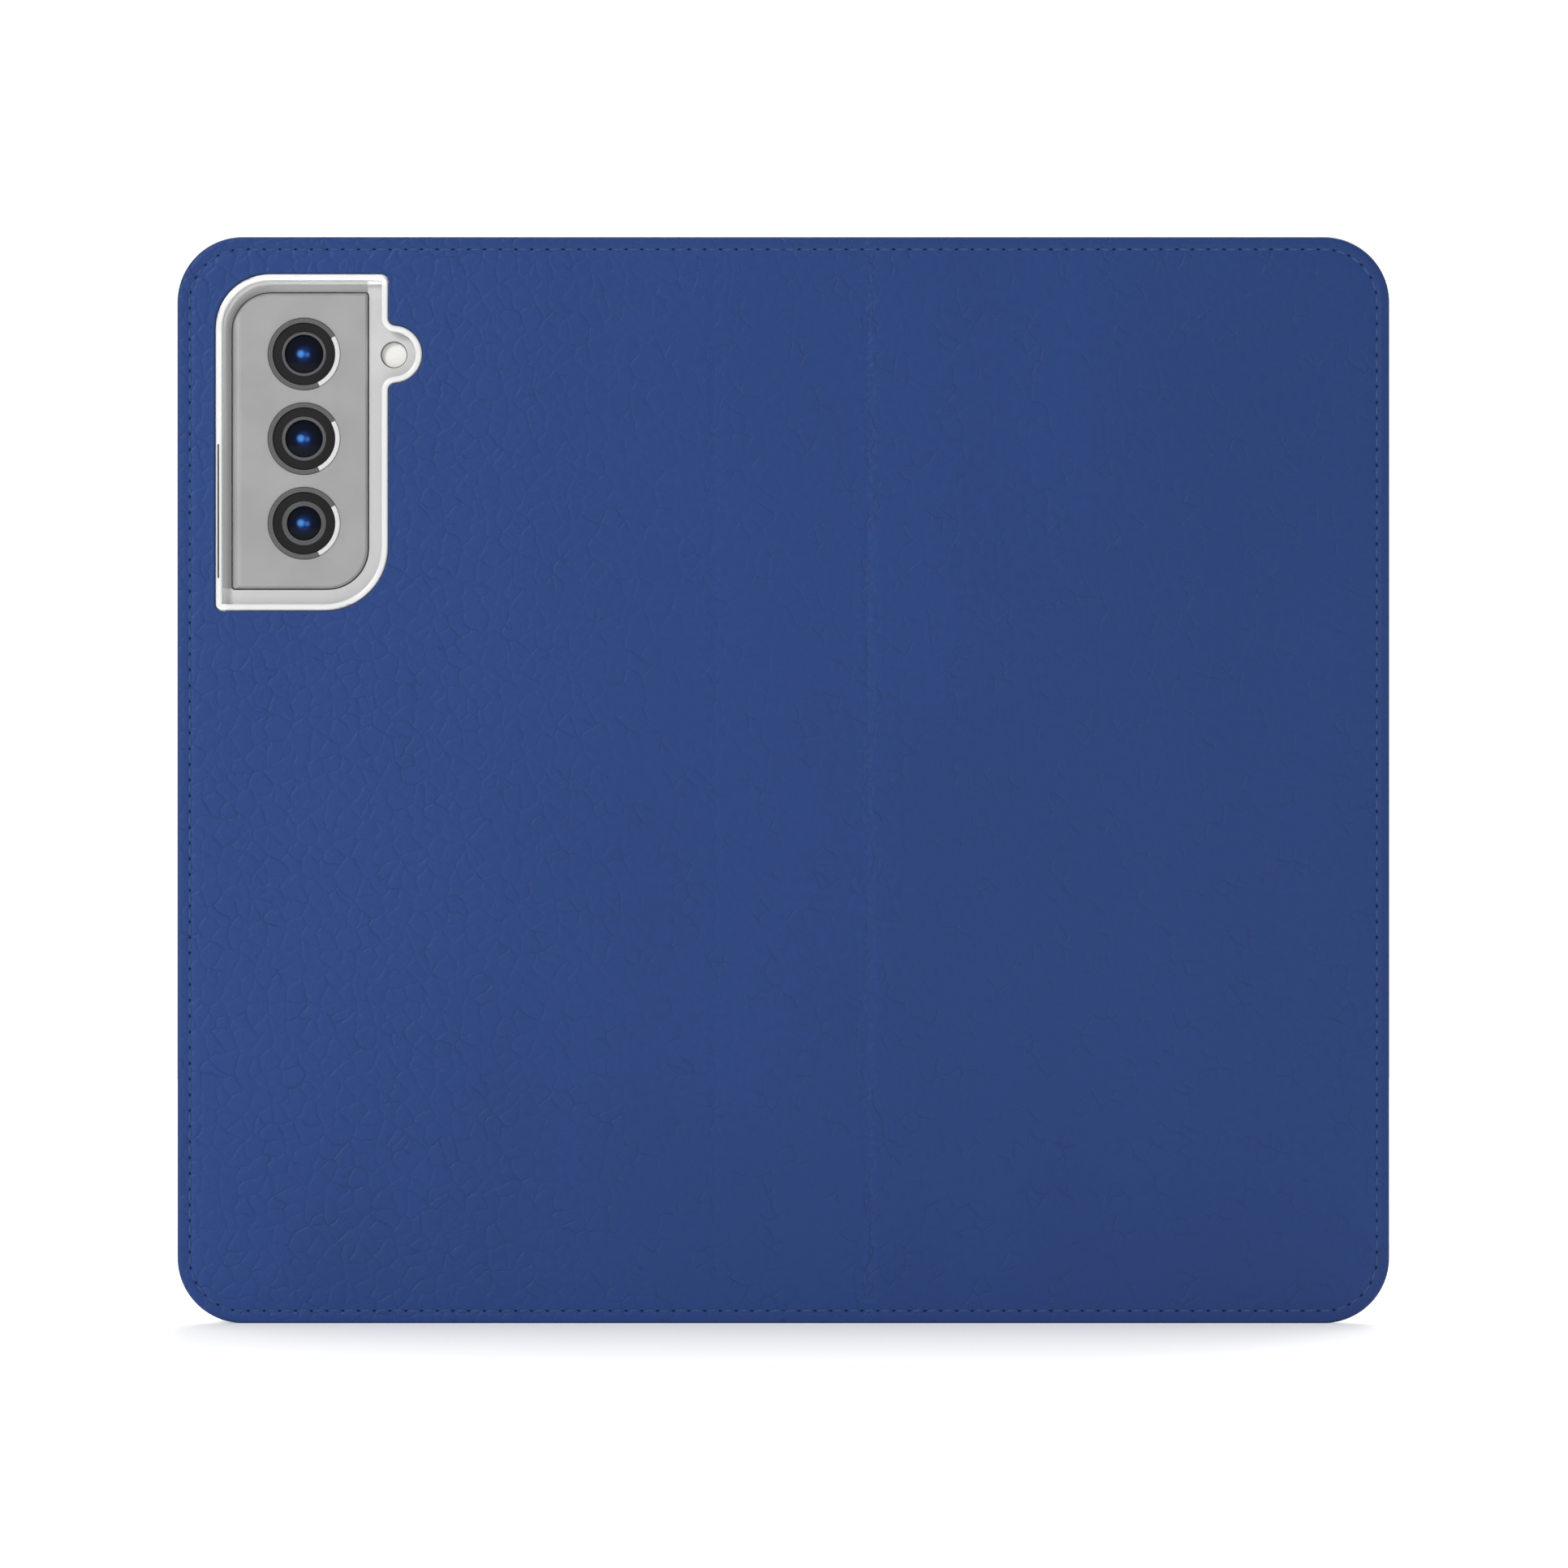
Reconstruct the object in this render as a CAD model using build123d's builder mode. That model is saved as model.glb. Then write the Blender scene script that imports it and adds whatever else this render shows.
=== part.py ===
"""Phone wallet case, opened flat, with the phone it carries. Millimetres.

+X runs across the open case from the back cover to the front cover, +Z runs up the phone and
+Y runs from the outside of the case to the inside. The origin is the middle of the spine's
bottom edge. The plane y = 0 halves the spine's two skins and holds both crease axes.

Every layer is a slab between two depths, measured along y, so most sub-parts are sketches on
a plane at the layer's outer depth, extruded inwards by its thickness.
"""

import os

from build123d import *

os.makedirs("parts", exist_ok=True)

# ---------------------------------------------------------------- cover, driving dimensions
cover_width = 185.2
cover_height = 166.0
corner_radius = 10.0
leather = 0.8
lining = 0.6
board = 1.0
edge_fold = 0.8  # width of the leather turned up round the lining's edge
board_inset = 3.4
back_board_spine_edge = -11.2
front_board_spine_edge = 13.9
board_corner = 1.0
outline_fillet = 0.35
board_window_margin = 0.5  # how far the board stays clear of the camera window
glue_gap = 0.05
same_place = 0.01  # two coordinates closer than this are taken as equal
beyond = 1.0  # how far a cutting shape reaches past what it cuts

# ---------------------------------------------------------------- seams
stitch_inset = 1.9
stitch_pitch = 2.4
stitch_length = 1.7
thread_width = 0.4
thread_height = 0.2
groove_width = 0.8
groove_depth = 0.25

# ---------------------------------------------------------------- phone
phone_width = 71.2
phone_height = 151.7
phone_thickness = 7.9
phone_corner = 6.8
phone_centre_x = -49.7
frame_wall = 2.5
glass_thickness = 1.0
glass_inset = 1.2
back_panel_thickness = 0.8
back_panel_inset = 2.3
frame_back_round = 2.0
frame_front_round = 0.9
display_thickness = 0.3
selfie_radius = 1.7
selfie_drop = 5.2
earpiece_length = 13.0
earpiece_height = 0.6
earpiece_drop = 1.9

# ---------------------------------------------------------------- clear tray
tray_wall = 1.4
tray_back = 1.0
tray_clearance = 0.1
tray_lip = 0.4
tray_back_round = 0.8
tray_rim_round = 0.4
adhesive = 0.2
adhesive_inset = 7.0
adhesive_window_margin = 2.0
collar_wall = 1.0
collar_round = 0.35
collar_recess = 0.25  # how far the camera collar stays below the leather's outer face
rocker_slit = 0.25  # width of the slit that lets the collar's side give beside the volume rocker
rocker_slit_depth = 1.6
rocker_slit_inset = 0.45  # from the collar's outer side to the slit's middle
ledge_gap = 0.2  # gap between the collar's ledge and the camera island

# ---------------------------------------------------------------- camera
window_clearance = 0.1
window_right = -60.3
window_bottom = 108.8
window_corners = (1.5, 9.8, 1.2)  # top right, bottom right, bottom left
flash_x = -59.6
flash_z = 148.1
flash_tab_radius = 4.5
flash_tab_blend = 1.0
flash_radius = 1.9
flash_hole_radius = 2.05
island_left = -84.3
island_right = -63.6
island_top = 157.5
island_bottom = 112.3
island_corners = (5.9, 0.4, 6.2, 0.4)  # top left, top right, bottom right, bottom left
island_height = 1.5
island_sink = 1.2
island_chamfer = 0.35
shoulder_width = 1.4  # the island's left side curves down towards the phone's frame
shoulder_drop = 0.6
lens_x = -73.35
lens_middle_z = 135.25
lens_pitch = 12.95
lens_trim_radius = 5.5
lens_window_radius = 4.8
lens_trim_proud = 0.25
lens_trim_chamfer = 0.12
lens_pocket_depth = 1.2
lens_bezel_radius = 3.38
lens_glass_radii = (2.92, 2.84, 2.59)  # upper, middle, lower
lens_dome_drop = 0.45  # from the island's face down to the rim of each glass dome
lens_dome_height = 0.3

# ---------------------------------------------------------------- keys and sockets
key_width = 2.4
key_proud = 0.5
key_depth = 1.4
key_clearance = 0.05
key_round = 0.2
key_travel = 0.3
rocker_length = 20.5
rocker_z = 124.1
rocker_swing = 0.4  # room under each end of the rocker
power_length = 10.0
power_z = 100.35
notch_margin = 1.6
port_width = 9.2
port_height = 3.2
port_depth = 2.3
port_wall = 0.3
tongue_width = 6.6
tongue_height = 0.7
speaker_holes = 6
speaker_pitch = 2.2
speaker_radius = 0.55
speaker_offset = 17.0
microphone_radius = 0.5
microphone_offset = -12.0
socket_notch_width = 48.0
socket_notch_corner = 1.5

# ---------------------------------------------------------------- pockets and closure
pocket_leather = 0.4
card_gap = 0.8
cash_gap = 0.4
cash_edge = 17.0
cash_flange_inset = 0.9
card_block_bottom = 37.0
card_block_top = 129.0
card_seam = 2.5
card_pocket_edges = (24.0, 34.0, 44.0)  # open edge of each pocket, inner to outer
card_pocket_stops = (69.5, 79.0, 88.0)  # where a card comes to rest
pocket_corner = 0.6
magnet_width = 5.0
magnet_length = 20.0
magnet_x = 86.0
magnet_heights = (40.0, 90.0)
closing_gap = 0.4

# ---------------------------------------------------------------- depths along y, outside to inside
spine_thickness = leather + lining
outer_face = -spine_thickness / 2
leather_inner = outer_face + leather
border_inner = outer_face + spine_thickness
board_inner = leather_inner + board
lining_inner = board_inner + lining
tray_outer_depth = lining_inner + adhesive
phone_back = tray_outer_depth + tray_back
phone_front = phone_back + phone_thickness
tray_rim = phone_front + tray_lip
phone_middle = (phone_back + phone_front) / 2
cash_inner = lining_inner + cash_gap + pocket_leather
pocket_step = card_gap + pocket_leather
pockets_inner = cash_inner + len(card_pocket_edges) * pocket_step

# Both creases lie on y = 0. Turned a right angle each, they bring the two covers face to face
# with the phone and the pockets between them.
crease_x = (tray_rim + pockets_inner + closing_gap) / 2
nose_radius = spine_thickness / 2
panel_spine_edge = crease_x + nose_radius + glue_gap

# ---------------------------------------------------------------- places worked out from the above
phone_left = phone_centre_x - phone_width / 2
phone_right = phone_centre_x + phone_width / 2
phone_bottom = (cover_height - phone_height) / 2
phone_top = phone_bottom + phone_height
tray_margin = tray_wall + tray_clearance
tray_left = phone_left - tray_margin
tray_right = phone_right + tray_margin
tray_bottom = phone_bottom - tray_margin
tray_top = phone_top + tray_margin
tray_corner = phone_corner + tray_margin
window_left = tray_left - window_clearance
window_top = tray_top + window_clearance
island_outer = phone_back - island_height
island_floor = phone_back + island_sink
lens_centres = [(lens_x, lens_middle_z + step * lens_pitch) for step in (1, 0, -1)]
sides = {"back": -1, "front": 1}


def layer(depth):
    """Sketch plane at y = depth, with sketch x along X and sketch y along Z."""
    return Plane.XZ.offset(-depth)


def inwards(thickness):
    """Extrude the pending sketch from its plane towards the inside of the case."""
    extrude(amount=-thickness)


def cut_inwards(thickness):
    """Cut the pending sketch from its plane towards the inside of the case."""
    extrude(amount=-thickness, mode=Mode.SUBTRACT)


def rounded_box(left, right, bottom, top, corners, mode=Mode.ADD):
    """Rectangle with its own radius at each corner: top left, top right, bottom right, bottom left."""
    points = [(left, top), (right, top), (right, bottom), (left, bottom)]
    with BuildLine() as outline:
        FilletPolyline(*points, radius=corners, close=True)
    make_face(outline.edges(), mode=mode)


def panel_outline(side, inset, spine_edge, mode=Mode.ADD):
    """Cover panel, inset from the cover's edge, straight at spine_edge and rounded at its free corners."""
    free_edge = cover_width / 2 - inset
    radius = corner_radius - inset
    if side < 0:
        rounded_box(-free_edge, spine_edge, inset, cover_height - inset, (radius, 0, 0, radius), mode)
    else:
        rounded_box(spine_edge, free_edge, inset, cover_height - inset, (0, radius, radius, 0), mode)


def board_outline(side, margin=0.0, mode=Mode.ADD):
    """Stiffener board outline, grown by margin on every side."""
    inset = board_inset - margin
    free_edge = cover_width / 2 - inset
    free_radius = corner_radius - inset
    spine_radius = board_corner + margin
    if side < 0:
        corners = (free_radius, spine_radius, spine_radius, free_radius)
        rounded_box(-free_edge, back_board_spine_edge + margin, inset, cover_height - inset, corners, mode)
    else:
        corners = (spine_radius, free_radius, free_radius, spine_radius)
        rounded_box(front_board_spine_edge - margin, free_edge, inset, cover_height - inset, corners, mode)


def phone_outline(inset, mode=Mode.ADD):
    """Phone outline, inset by a distance that is negative for something round the phone."""
    corners = [phone_corner - inset] * 4
    rounded_box(
        phone_left + inset, phone_right - inset, phone_bottom + inset, phone_top - inset, corners, mode
    )


def camera_window(inset):
    """Outline of the camera window with its round tab for the flash, as a free-standing sketch."""
    top_right, bottom_right, bottom_left = window_corners
    top_left = tray_corner + window_clearance
    with BuildSketch() as outline:
        rounded_box(
            window_left,
            window_right,
            window_bottom,
            window_top,
            (top_left, top_right, bottom_right, bottom_left),
        )
        with Locations((flash_x, flash_z)):
            Circle(flash_tab_radius)
        junctions = [
            vertex
            for vertex in outline.vertices()
            if abs(vertex.X - window_right) < same_place and abs(vertex.Y - flash_z) < flash_tab_radius
        ]
        fillet(junctions, flash_tab_blend)
        if inset:
            offset(amount=-inset, mode=Mode.REPLACE)
    return outline.sketch


def island_outline(margin=0.0, mode=Mode.ADD):
    """Camera island outline, grown by margin."""
    corners = [radius + margin for radius in island_corners]
    rounded_box(
        island_left - margin,
        island_right + margin,
        island_bottom - margin,
        island_top + margin,
        corners,
        mode,
    )


def seam_line(side, inset):
    """Perimeter seam of one panel, from the crease round the free corners and back to the crease."""
    free_edge = side * (cover_width / 2 - inset)
    spine_edge = side * (panel_spine_edge + stitch_length / 2)
    points = [
        (spine_edge, cover_height - inset),
        (free_edge, cover_height - inset),
        (free_edge, inset),
        (spine_edge, inset),
    ]
    with BuildLine():
        seam = FilletPolyline(*points, radius=corner_radius - inset)
    return seam


def seam_groove(line):
    """Shallow channel that a perimeter seam lies in, cut from the leather's outer face."""
    with BuildSketch(layer(outer_face)) as groove:
        trace(line, line_width=groove_width)
    extrude(groove.sketch, amount=-groove_depth, mode=Mode.SUBTRACT)


def stitch_places(line):
    """Middles and directions of evenly spaced stitches along a seam."""
    count = round(line.length / stitch_pitch)
    middles = [(index + 0.5) / count for index in range(count)]
    return [Location(line @ middle, (0, 0, line.tangent_angle_at(middle))) for middle in middles]


def stitches(places, depth):
    """Flat stitches at the places given, from depth inwards."""
    with BuildSketch(layer(depth)) as row:
        with Locations(*places):
            SlotOverall(stitch_length, thread_width)
    extrude(row.sketch, amount=-thread_height)


def save(part, label):
    """Label a finished sub-part and write it as its own STEP file."""
    part.label = label
    export_step(part, f"parts/{label}.step")


# ================================================================ covers
# Each cover is an outer leather skin turned up round its edge, a stiffener board that stops
# short of the seam, and a lining that dips from the board to meet the leather at the seam.


def outer_leather(side):
    with BuildPart() as skin:
        with BuildSketch(layer(outer_face)):
            panel_outline(side, 0, side * panel_spine_edge)
        inwards(spine_thickness)
        fillet(skin.faces().filter_by(Axis.Y).edges().filter_by(along_free_edge), outline_fillet)
        with BuildSketch(layer(leather_inner)):
            panel_outline(side, edge_fold, side * panel_spine_edge)
        cut_inwards(lining)
        seam_groove(seam_line(side, stitch_inset))
        if side == sides["back"]:
            with BuildSketch(layer(outer_face)):
                add(camera_window(0))
            cut_inwards(spine_thickness)
    return skin.part


def along_free_edge(edge):
    """True for an edge that doesn't lie on a panel's straight cut at the crease."""
    return abs(abs(edge.center().X) - panel_spine_edge) > same_place


def cover_board(side):
    with BuildPart() as sheet:
        with BuildSketch(layer(leather_inner)):
            board_outline(side)
            with Locations(*[(side * magnet_x, height) for height in magnet_heights]):
                Rectangle(magnet_width, magnet_length, mode=Mode.SUBTRACT)
            if side == sides["back"]:
                add(camera_window(-board_window_margin), mode=Mode.SUBTRACT)
        inwards(board)
    return sheet.part


def cover_lining(side):
    inset = edge_fold + glue_gap
    with BuildPart() as sheet:
        with BuildSketch(layer(leather_inner)):
            panel_outline(side, inset, side * panel_spine_edge)
        inwards(lining)
        with BuildSketch(layer(leather_inner)):
            board_outline(side, margin=lining)
        inwards(board + lining)
        with BuildSketch(layer(leather_inner)):
            board_outline(side)
        cut_inwards(board)
        if side == sides["back"]:
            with BuildSketch(layer(leather_inner)):
                add(camera_window(0))
            cut_inwards(board + lining)
    return sheet.part


def cover_stitching(side):
    """Outer stitches lie in the leather's groove, inner ones on the lining or the cash pocket's flange."""
    places = stitch_places(seam_line(side, stitch_inset))
    flange_start = cash_edge - stitch_length / 2
    on_flange = [place for place in places if place.position.X > flange_start]
    on_lining = [place for place in places if place.position.X < flange_start]
    with BuildPart() as thread:
        stitches(places, outer_face + groove_depth - thread_height)
        stitches(on_lining, border_inner)
        if on_flange:
            stitches(on_flange, border_inner + pocket_leather)
    return thread.part


def closure_plates(side):
    with BuildPart() as plates:
        with BuildSketch(layer(leather_inner)):
            with Locations(*[(side * magnet_x, height) for height in magnet_heights]):
                Rectangle(magnet_width - 2 * glue_gap, magnet_length - 2 * glue_gap)
        inwards(board)
    return plates.part


for cover, side in sides.items():
    save(outer_leather(side), f"{cover}_outer_leather")
    save(cover_board(side), f"{cover}_stiffener_board")
    save(cover_lining(side), f"{cover}_lining")
    save(cover_stitching(side), f"{cover}_edge_stitching")
save(closure_plates(sides["back"]), "back_keeper_plates")
save(closure_plates(sides["front"]), "front_closure_magnets")

# ================================================================ spine
# The spine's two skins end in round noses that are centred on the crease axes.


def spine_section():
    """Whole cross-section of the spine, rounded about both crease axes, seen from above."""
    SlotCenterToCenter(2 * crease_x, spine_thickness)


with BuildPart() as spine_outer_leather:
    with BuildSketch(Plane.XY):
        spine_section()
        with Locations((0, leather_inner)):
            Rectangle(cover_width, spine_thickness, align=(Align.CENTER, Align.MIN), mode=Mode.SUBTRACT)
    extrude(amount=cover_height)
    with BuildSketch(layer(outer_face)):
        with Locations((0, stitch_inset), (0, cover_height - stitch_inset)):
            Rectangle(2 * crease_x, groove_width)
    cut_inwards(groove_depth)
save(spine_outer_leather.part, "spine_outer_leather")

with BuildPart() as spine_lining:
    with BuildSketch(Plane.XY):
        spine_section()
        with Locations((0, leather_inner)):
            Rectangle(cover_width, spine_thickness, align=(Align.CENTER, Align.MAX), mode=Mode.SUBTRACT)
    extrude(amount=cover_height)
save(spine_lining.part, "spine_lining")

spine_stitch_count = int((2 * crease_x - stitch_length) / stitch_pitch) + 1
with BuildPart() as spine_edge_stitching:
    for depth in (outer_face + groove_depth - thread_height, border_inner):
        with BuildSketch(layer(depth)):
            for height in (stitch_inset, cover_height - stitch_inset):
                with Locations((0, height)):
                    with GridLocations(stitch_pitch, 0, spine_stitch_count, 1):
                        SlotOverall(stitch_length, thread_width)
        inwards(thread_height)
save(spine_edge_stitching.part, "spine_edge_stitching")

# ================================================================ tray
with BuildPart() as tray_adhesive_pad:
    with BuildSketch(layer(lining_inner)):
        phone_outline(adhesive_inset - tray_margin)
        add(camera_window(-adhesive_window_margin), mode=Mode.SUBTRACT)
    inwards(adhesive)
save(tray_adhesive_pad.part, "tray_adhesive_pad")


def key_notch(centre, length):
    """Opening in the tray's side wall in front of a key, open towards the screen."""
    with BuildSketch(Plane.YZ.offset(tray_left - tray_wall)) as opening:
        with Locations((phone_middle - key_width / 2 - notch_margin, centre)):
            Rectangle(phone_thickness, length + 2 * notch_margin, align=(Align.MIN, Align.CENTER))
    extrude(opening.sketch, amount=3 * tray_wall, mode=Mode.SUBTRACT)


with BuildPart() as phone_tray:
    with BuildSketch(layer(tray_outer_depth)):
        phone_outline(-tray_margin)
    inwards(tray_rim - tray_outer_depth)
    fillet(phone_tray.faces().sort_by(Axis.Y)[0].edges(), tray_back_round)
    fillet(phone_tray.faces().sort_by(Axis.Y)[-1].edges(), tray_rim_round)
    # The collar stands up through the camera window and closes the gap round the camera.
    with BuildSketch(layer(outer_face + collar_recess)):
        add(camera_window(window_clearance))
    inwards(phone_back - outer_face - collar_recess)
    with BuildSketch(layer(outer_face + collar_recess)):
        add(camera_window(window_clearance + collar_wall))
    cut_inwards(tray_outer_depth - outer_face - collar_recess)
    fillet(phone_tray.faces().sort_by(Axis.Y)[0].edges(), collar_round)
    # Room for the phone, the camera island and the flash.
    with BuildSketch(layer(phone_back)):
        phone_outline(-tray_clearance)
    cut_inwards(phone_thickness + tray_lip)
    with BuildSketch(layer(outer_face)):
        island_outline(ledge_gap)
        with Locations((flash_x, flash_z)):
            Circle(flash_hole_radius)
    cut_inwards(phone_back - outer_face)
    # Side notches for the keys and a bottom notch for the port and the speaker.
    key_notch(rocker_z, rocker_length)
    key_notch(power_z, power_length)
    with BuildSketch(layer(outer_face)):
        with Locations((tray_left + rocker_slit_inset, rocker_z)):
            SlotOverall(rocker_length, rocker_slit, rotation=90)
    cut_inwards(collar_recess + rocker_slit_depth)
    with BuildSketch(Plane.XY.offset(tray_bottom - tray_wall)):
        with Locations((phone_centre_x, phone_middle - port_height)):
            Rectangle(socket_notch_width, phone_thickness, align=(Align.CENTER, Align.MIN))
    extrude(amount=2 * tray_margin, mode=Mode.SUBTRACT)
save(phone_tray.part, "phone_tray")

# ================================================================ pockets on the front cover
with BuildPart() as cash_pocket:
    pan_margin = lining + glue_gap
    with BuildSketch(layer(border_inner)):
        panel_outline(sides["front"], cash_flange_inset, cash_edge)
    inwards(pocket_leather)
    with BuildSketch(layer(border_inner)):
        board_outline(sides["front"], margin=pan_margin + pocket_leather)
        with Locations((cash_edge, 0)):
            Rectangle(cover_width, 2 * cover_height, align=(Align.MAX, Align.CENTER), mode=Mode.SUBTRACT)
    inwards(cash_inner - border_inner)
    with BuildSketch(layer(border_inner)):
        board_outline(sides["front"], margin=pan_margin)
    cut_inwards(cash_inner - border_inner - pocket_leather)
save(cash_pocket.part, "cash_pocket")


def card_pocket(index):
    """One pocket: a leather front over a card's gap, closed by seams above, below and at its stop."""
    open_edge = card_pocket_edges[index]
    stop = card_pocket_stops[index]
    depth = cash_inner + index * pocket_step
    closed_edge = card_pocket_stops[-1] + card_seam
    with BuildPart() as pocket:
        with BuildSketch(layer(depth)):
            rounded_box(
                open_edge,
                closed_edge,
                card_block_bottom,
                card_block_top,
                (pocket_corner, pocket_corner, pocket_corner, pocket_corner),
            )
        inwards(pocket_step)
        with BuildSketch(layer(depth)):
            with Locations((stop, (card_block_bottom + card_block_top) / 2)):
                Rectangle(
                    stop,
                    card_block_top - card_block_bottom - 2 * card_seam,
                    align=(Align.MAX, Align.CENTER),
                )
        cut_inwards(card_gap)
    return pocket.part


for index, place in enumerate(("inner", "middle", "outer")):
    save(card_pocket(index), f"card_pocket_{place}")

with BuildPart() as card_pocket_stitching:
    seam_middle = card_seam / 2
    for height in (card_block_bottom + seam_middle, card_block_top - seam_middle):
        start = (card_pocket_edges[-1] + seam_middle, height)
        end = (card_pocket_stops[-1], height)
        with BuildLine(mode=Mode.PRIVATE):
            seam = Line(start, end)
        stitches(stitch_places(seam), pockets_inner)
save(card_pocket_stitching.part, "card_pocket_stitching")

# ================================================================ phone
with BuildPart() as phone_frame:
    with BuildSketch(layer(phone_back)):
        phone_outline(0)
    inwards(phone_thickness)
    fillet(phone_frame.faces().sort_by(Axis.Y)[0].edges(), frame_back_round)
    fillet(phone_frame.faces().sort_by(Axis.Y)[-1].edges(), frame_front_round)
    with BuildSketch(layer(phone_back)):
        phone_outline(frame_wall)
    cut_inwards(phone_thickness)
    with BuildSketch(layer(phone_back)):
        phone_outline(back_panel_inset)
    cut_inwards(back_panel_thickness)
    with BuildSketch(layer(phone_front - glass_thickness)):
        phone_outline(glass_inset)
    cut_inwards(glass_thickness)
    with BuildSketch(layer(phone_back)):
        island_outline(glue_gap)
    cut_inwards(island_sink)
    # Slots for the keys.
    with BuildSketch(Plane.YZ.offset(phone_left - key_proud)):
        with Locations((phone_middle, rocker_z)):
            SlotOverall(rocker_length + 2 * key_clearance, key_width + 2 * key_clearance, rotation=90)
        with Locations((phone_middle, power_z)):
            SlotOverall(power_length + 2 * key_clearance, key_width + 2 * key_clearance, rotation=90)
    extrude(amount=key_proud + key_depth + rocker_swing, mode=Mode.SUBTRACT)
    # Port, speaker holes and microphone in the bottom side.
    with BuildSketch(Plane.XY.offset(phone_bottom)):
        with Locations((phone_centre_x, phone_middle)):
            SlotOverall(port_width, port_height)
        with Locations((phone_centre_x + speaker_offset, phone_middle)):
            with GridLocations(speaker_pitch, 0, speaker_holes, 1):
                Circle(speaker_radius)
        with Locations((phone_centre_x + microphone_offset, phone_middle)):
            Circle(microphone_radius)
    extrude(amount=port_depth, mode=Mode.SUBTRACT)
save(phone_frame.part, "phone_frame")

with BuildPart() as phone_back_panel:
    with BuildSketch(layer(phone_back)):
        phone_outline(back_panel_inset + glue_gap)
        island_outline(glue_gap, mode=Mode.SUBTRACT)
        with Locations((flash_x, flash_z)):
            Circle(flash_radius + glue_gap, mode=Mode.SUBTRACT)
    inwards(back_panel_thickness)
save(phone_back_panel.part, "phone_back_panel")

core_outer = island_floor + glue_gap
core_inner = phone_front - glass_thickness - display_thickness
with BuildPart() as phone_core:
    with BuildSketch(layer(core_outer)):
        phone_outline(frame_wall + glue_gap)
    inwards(core_inner - core_outer)
save(phone_core.part, "phone_core")

with BuildPart() as display_panel:
    with BuildSketch(layer(core_inner)):
        phone_outline(frame_wall + glue_gap)
    inwards(display_thickness)
save(display_panel.part, "display_panel")

selfie_place = (phone_centre_x, phone_top - selfie_drop)
earpiece_place = (phone_centre_x, phone_top - earpiece_drop)
with BuildPart() as display_glass:
    with BuildSketch(layer(phone_front - glass_thickness)):
        phone_outline(glass_inset + glue_gap)
        with Locations(selfie_place):
            Circle(selfie_radius + glue_gap, mode=Mode.SUBTRACT)
        with Locations(earpiece_place):
            SlotOverall(
                earpiece_length + 2 * glue_gap, earpiece_height + 2 * glue_gap, mode=Mode.SUBTRACT
            )
    inwards(glass_thickness)
save(display_glass.part, "display_glass")

with BuildPart() as selfie_lens:
    with BuildSketch(layer(phone_front - glass_thickness)):
        with Locations(selfie_place):
            Circle(selfie_radius)
    inwards(glass_thickness)
save(selfie_lens.part, "selfie_lens")

with BuildPart() as earpiece_mesh:
    with BuildSketch(layer(phone_front - glass_thickness)):
        with Locations(earpiece_place):
            SlotOverall(earpiece_length, earpiece_height)
    inwards(glass_thickness - glue_gap)
save(earpiece_mesh.part, "earpiece_mesh")

with BuildPart() as charging_port:
    with BuildSketch(Plane.XY.offset(phone_bottom + glue_gap)):
        with Locations((phone_centre_x, phone_middle)):
            SlotOverall(port_width - 2 * glue_gap, port_height - 2 * glue_gap)
    extrude(amount=port_depth - 2 * glue_gap)
    with BuildSketch(Plane.XY.offset(phone_bottom)):
        with Locations((phone_centre_x, phone_middle)):
            SlotOverall(port_width - 2 * port_wall, port_height - 2 * port_wall)
            Rectangle(tongue_width, tongue_height, mode=Mode.SUBTRACT)
    extrude(amount=port_depth - port_wall, mode=Mode.SUBTRACT)
save(charging_port.part, "charging_port")


def side_key(centre, length):
    """Key in the phone's left side: a bar with round ends that stands a little proud."""
    with BuildPart() as key:
        with BuildSketch(Plane.YZ.offset(phone_left - key_proud)):
            with Locations((phone_middle, centre)):
                SlotOverall(length, key_width, rotation=90)
        extrude(amount=key_proud + key_depth)
        fillet(key.faces().sort_by(Axis.X)[0].edges(), key_round)
    return key.part


save(side_key(rocker_z, rocker_length), "volume_rocker")
save(side_key(power_z, power_length), "power_key")

# ================================================================ camera
with BuildPart() as camera_island:
    with BuildSketch(layer(island_outer)):
        island_outline()
    inwards(island_floor - island_outer)
    chamfer(camera_island.faces().sort_by(Axis.Y)[0].edges(), island_chamfer)
    with BuildSketch(Plane.XY.offset(island_bottom)):
        shoulder_top = (island_left + shoulder_width, island_outer)
        shoulder_foot = (island_left, island_outer + shoulder_drop)
        with BuildLine():
            TangentArc(shoulder_top, shoulder_foot, tangent=(-1, 0))
            Polyline(
                shoulder_foot,
                (island_left - beyond, shoulder_foot[1]),
                (island_left - beyond, island_outer - beyond),
                (shoulder_top[0], island_outer - beyond),
                shoulder_top,
            )
        make_face()
    extrude(amount=island_top - island_bottom, mode=Mode.SUBTRACT)
    with BuildSketch(layer(island_outer)):
        with Locations(*lens_centres):
            Circle(lens_trim_radius + glue_gap)
    cut_inwards(lens_pocket_depth)
save(camera_island.part, "camera_island")

lens_floor = island_outer + lens_pocket_depth
trim_outer = island_outer - lens_trim_proud
with BuildPart() as lens_trim_rings:
    with BuildSketch(layer(trim_outer)):
        with Locations(*lens_centres):
            Circle(lens_trim_radius)
            Circle(lens_window_radius, mode=Mode.SUBTRACT)
    inwards(lens_floor - trim_outer)
    outer_rims = lens_trim_rings.faces().group_by(Axis.Y)[0].edges()
    outside_edges = [rim for rim in outer_rims if rim.radius > lens_window_radius + lens_trim_chamfer]
    chamfer(outside_edges, lens_trim_chamfer)
save(lens_trim_rings.part, "lens_trim_rings")

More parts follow.
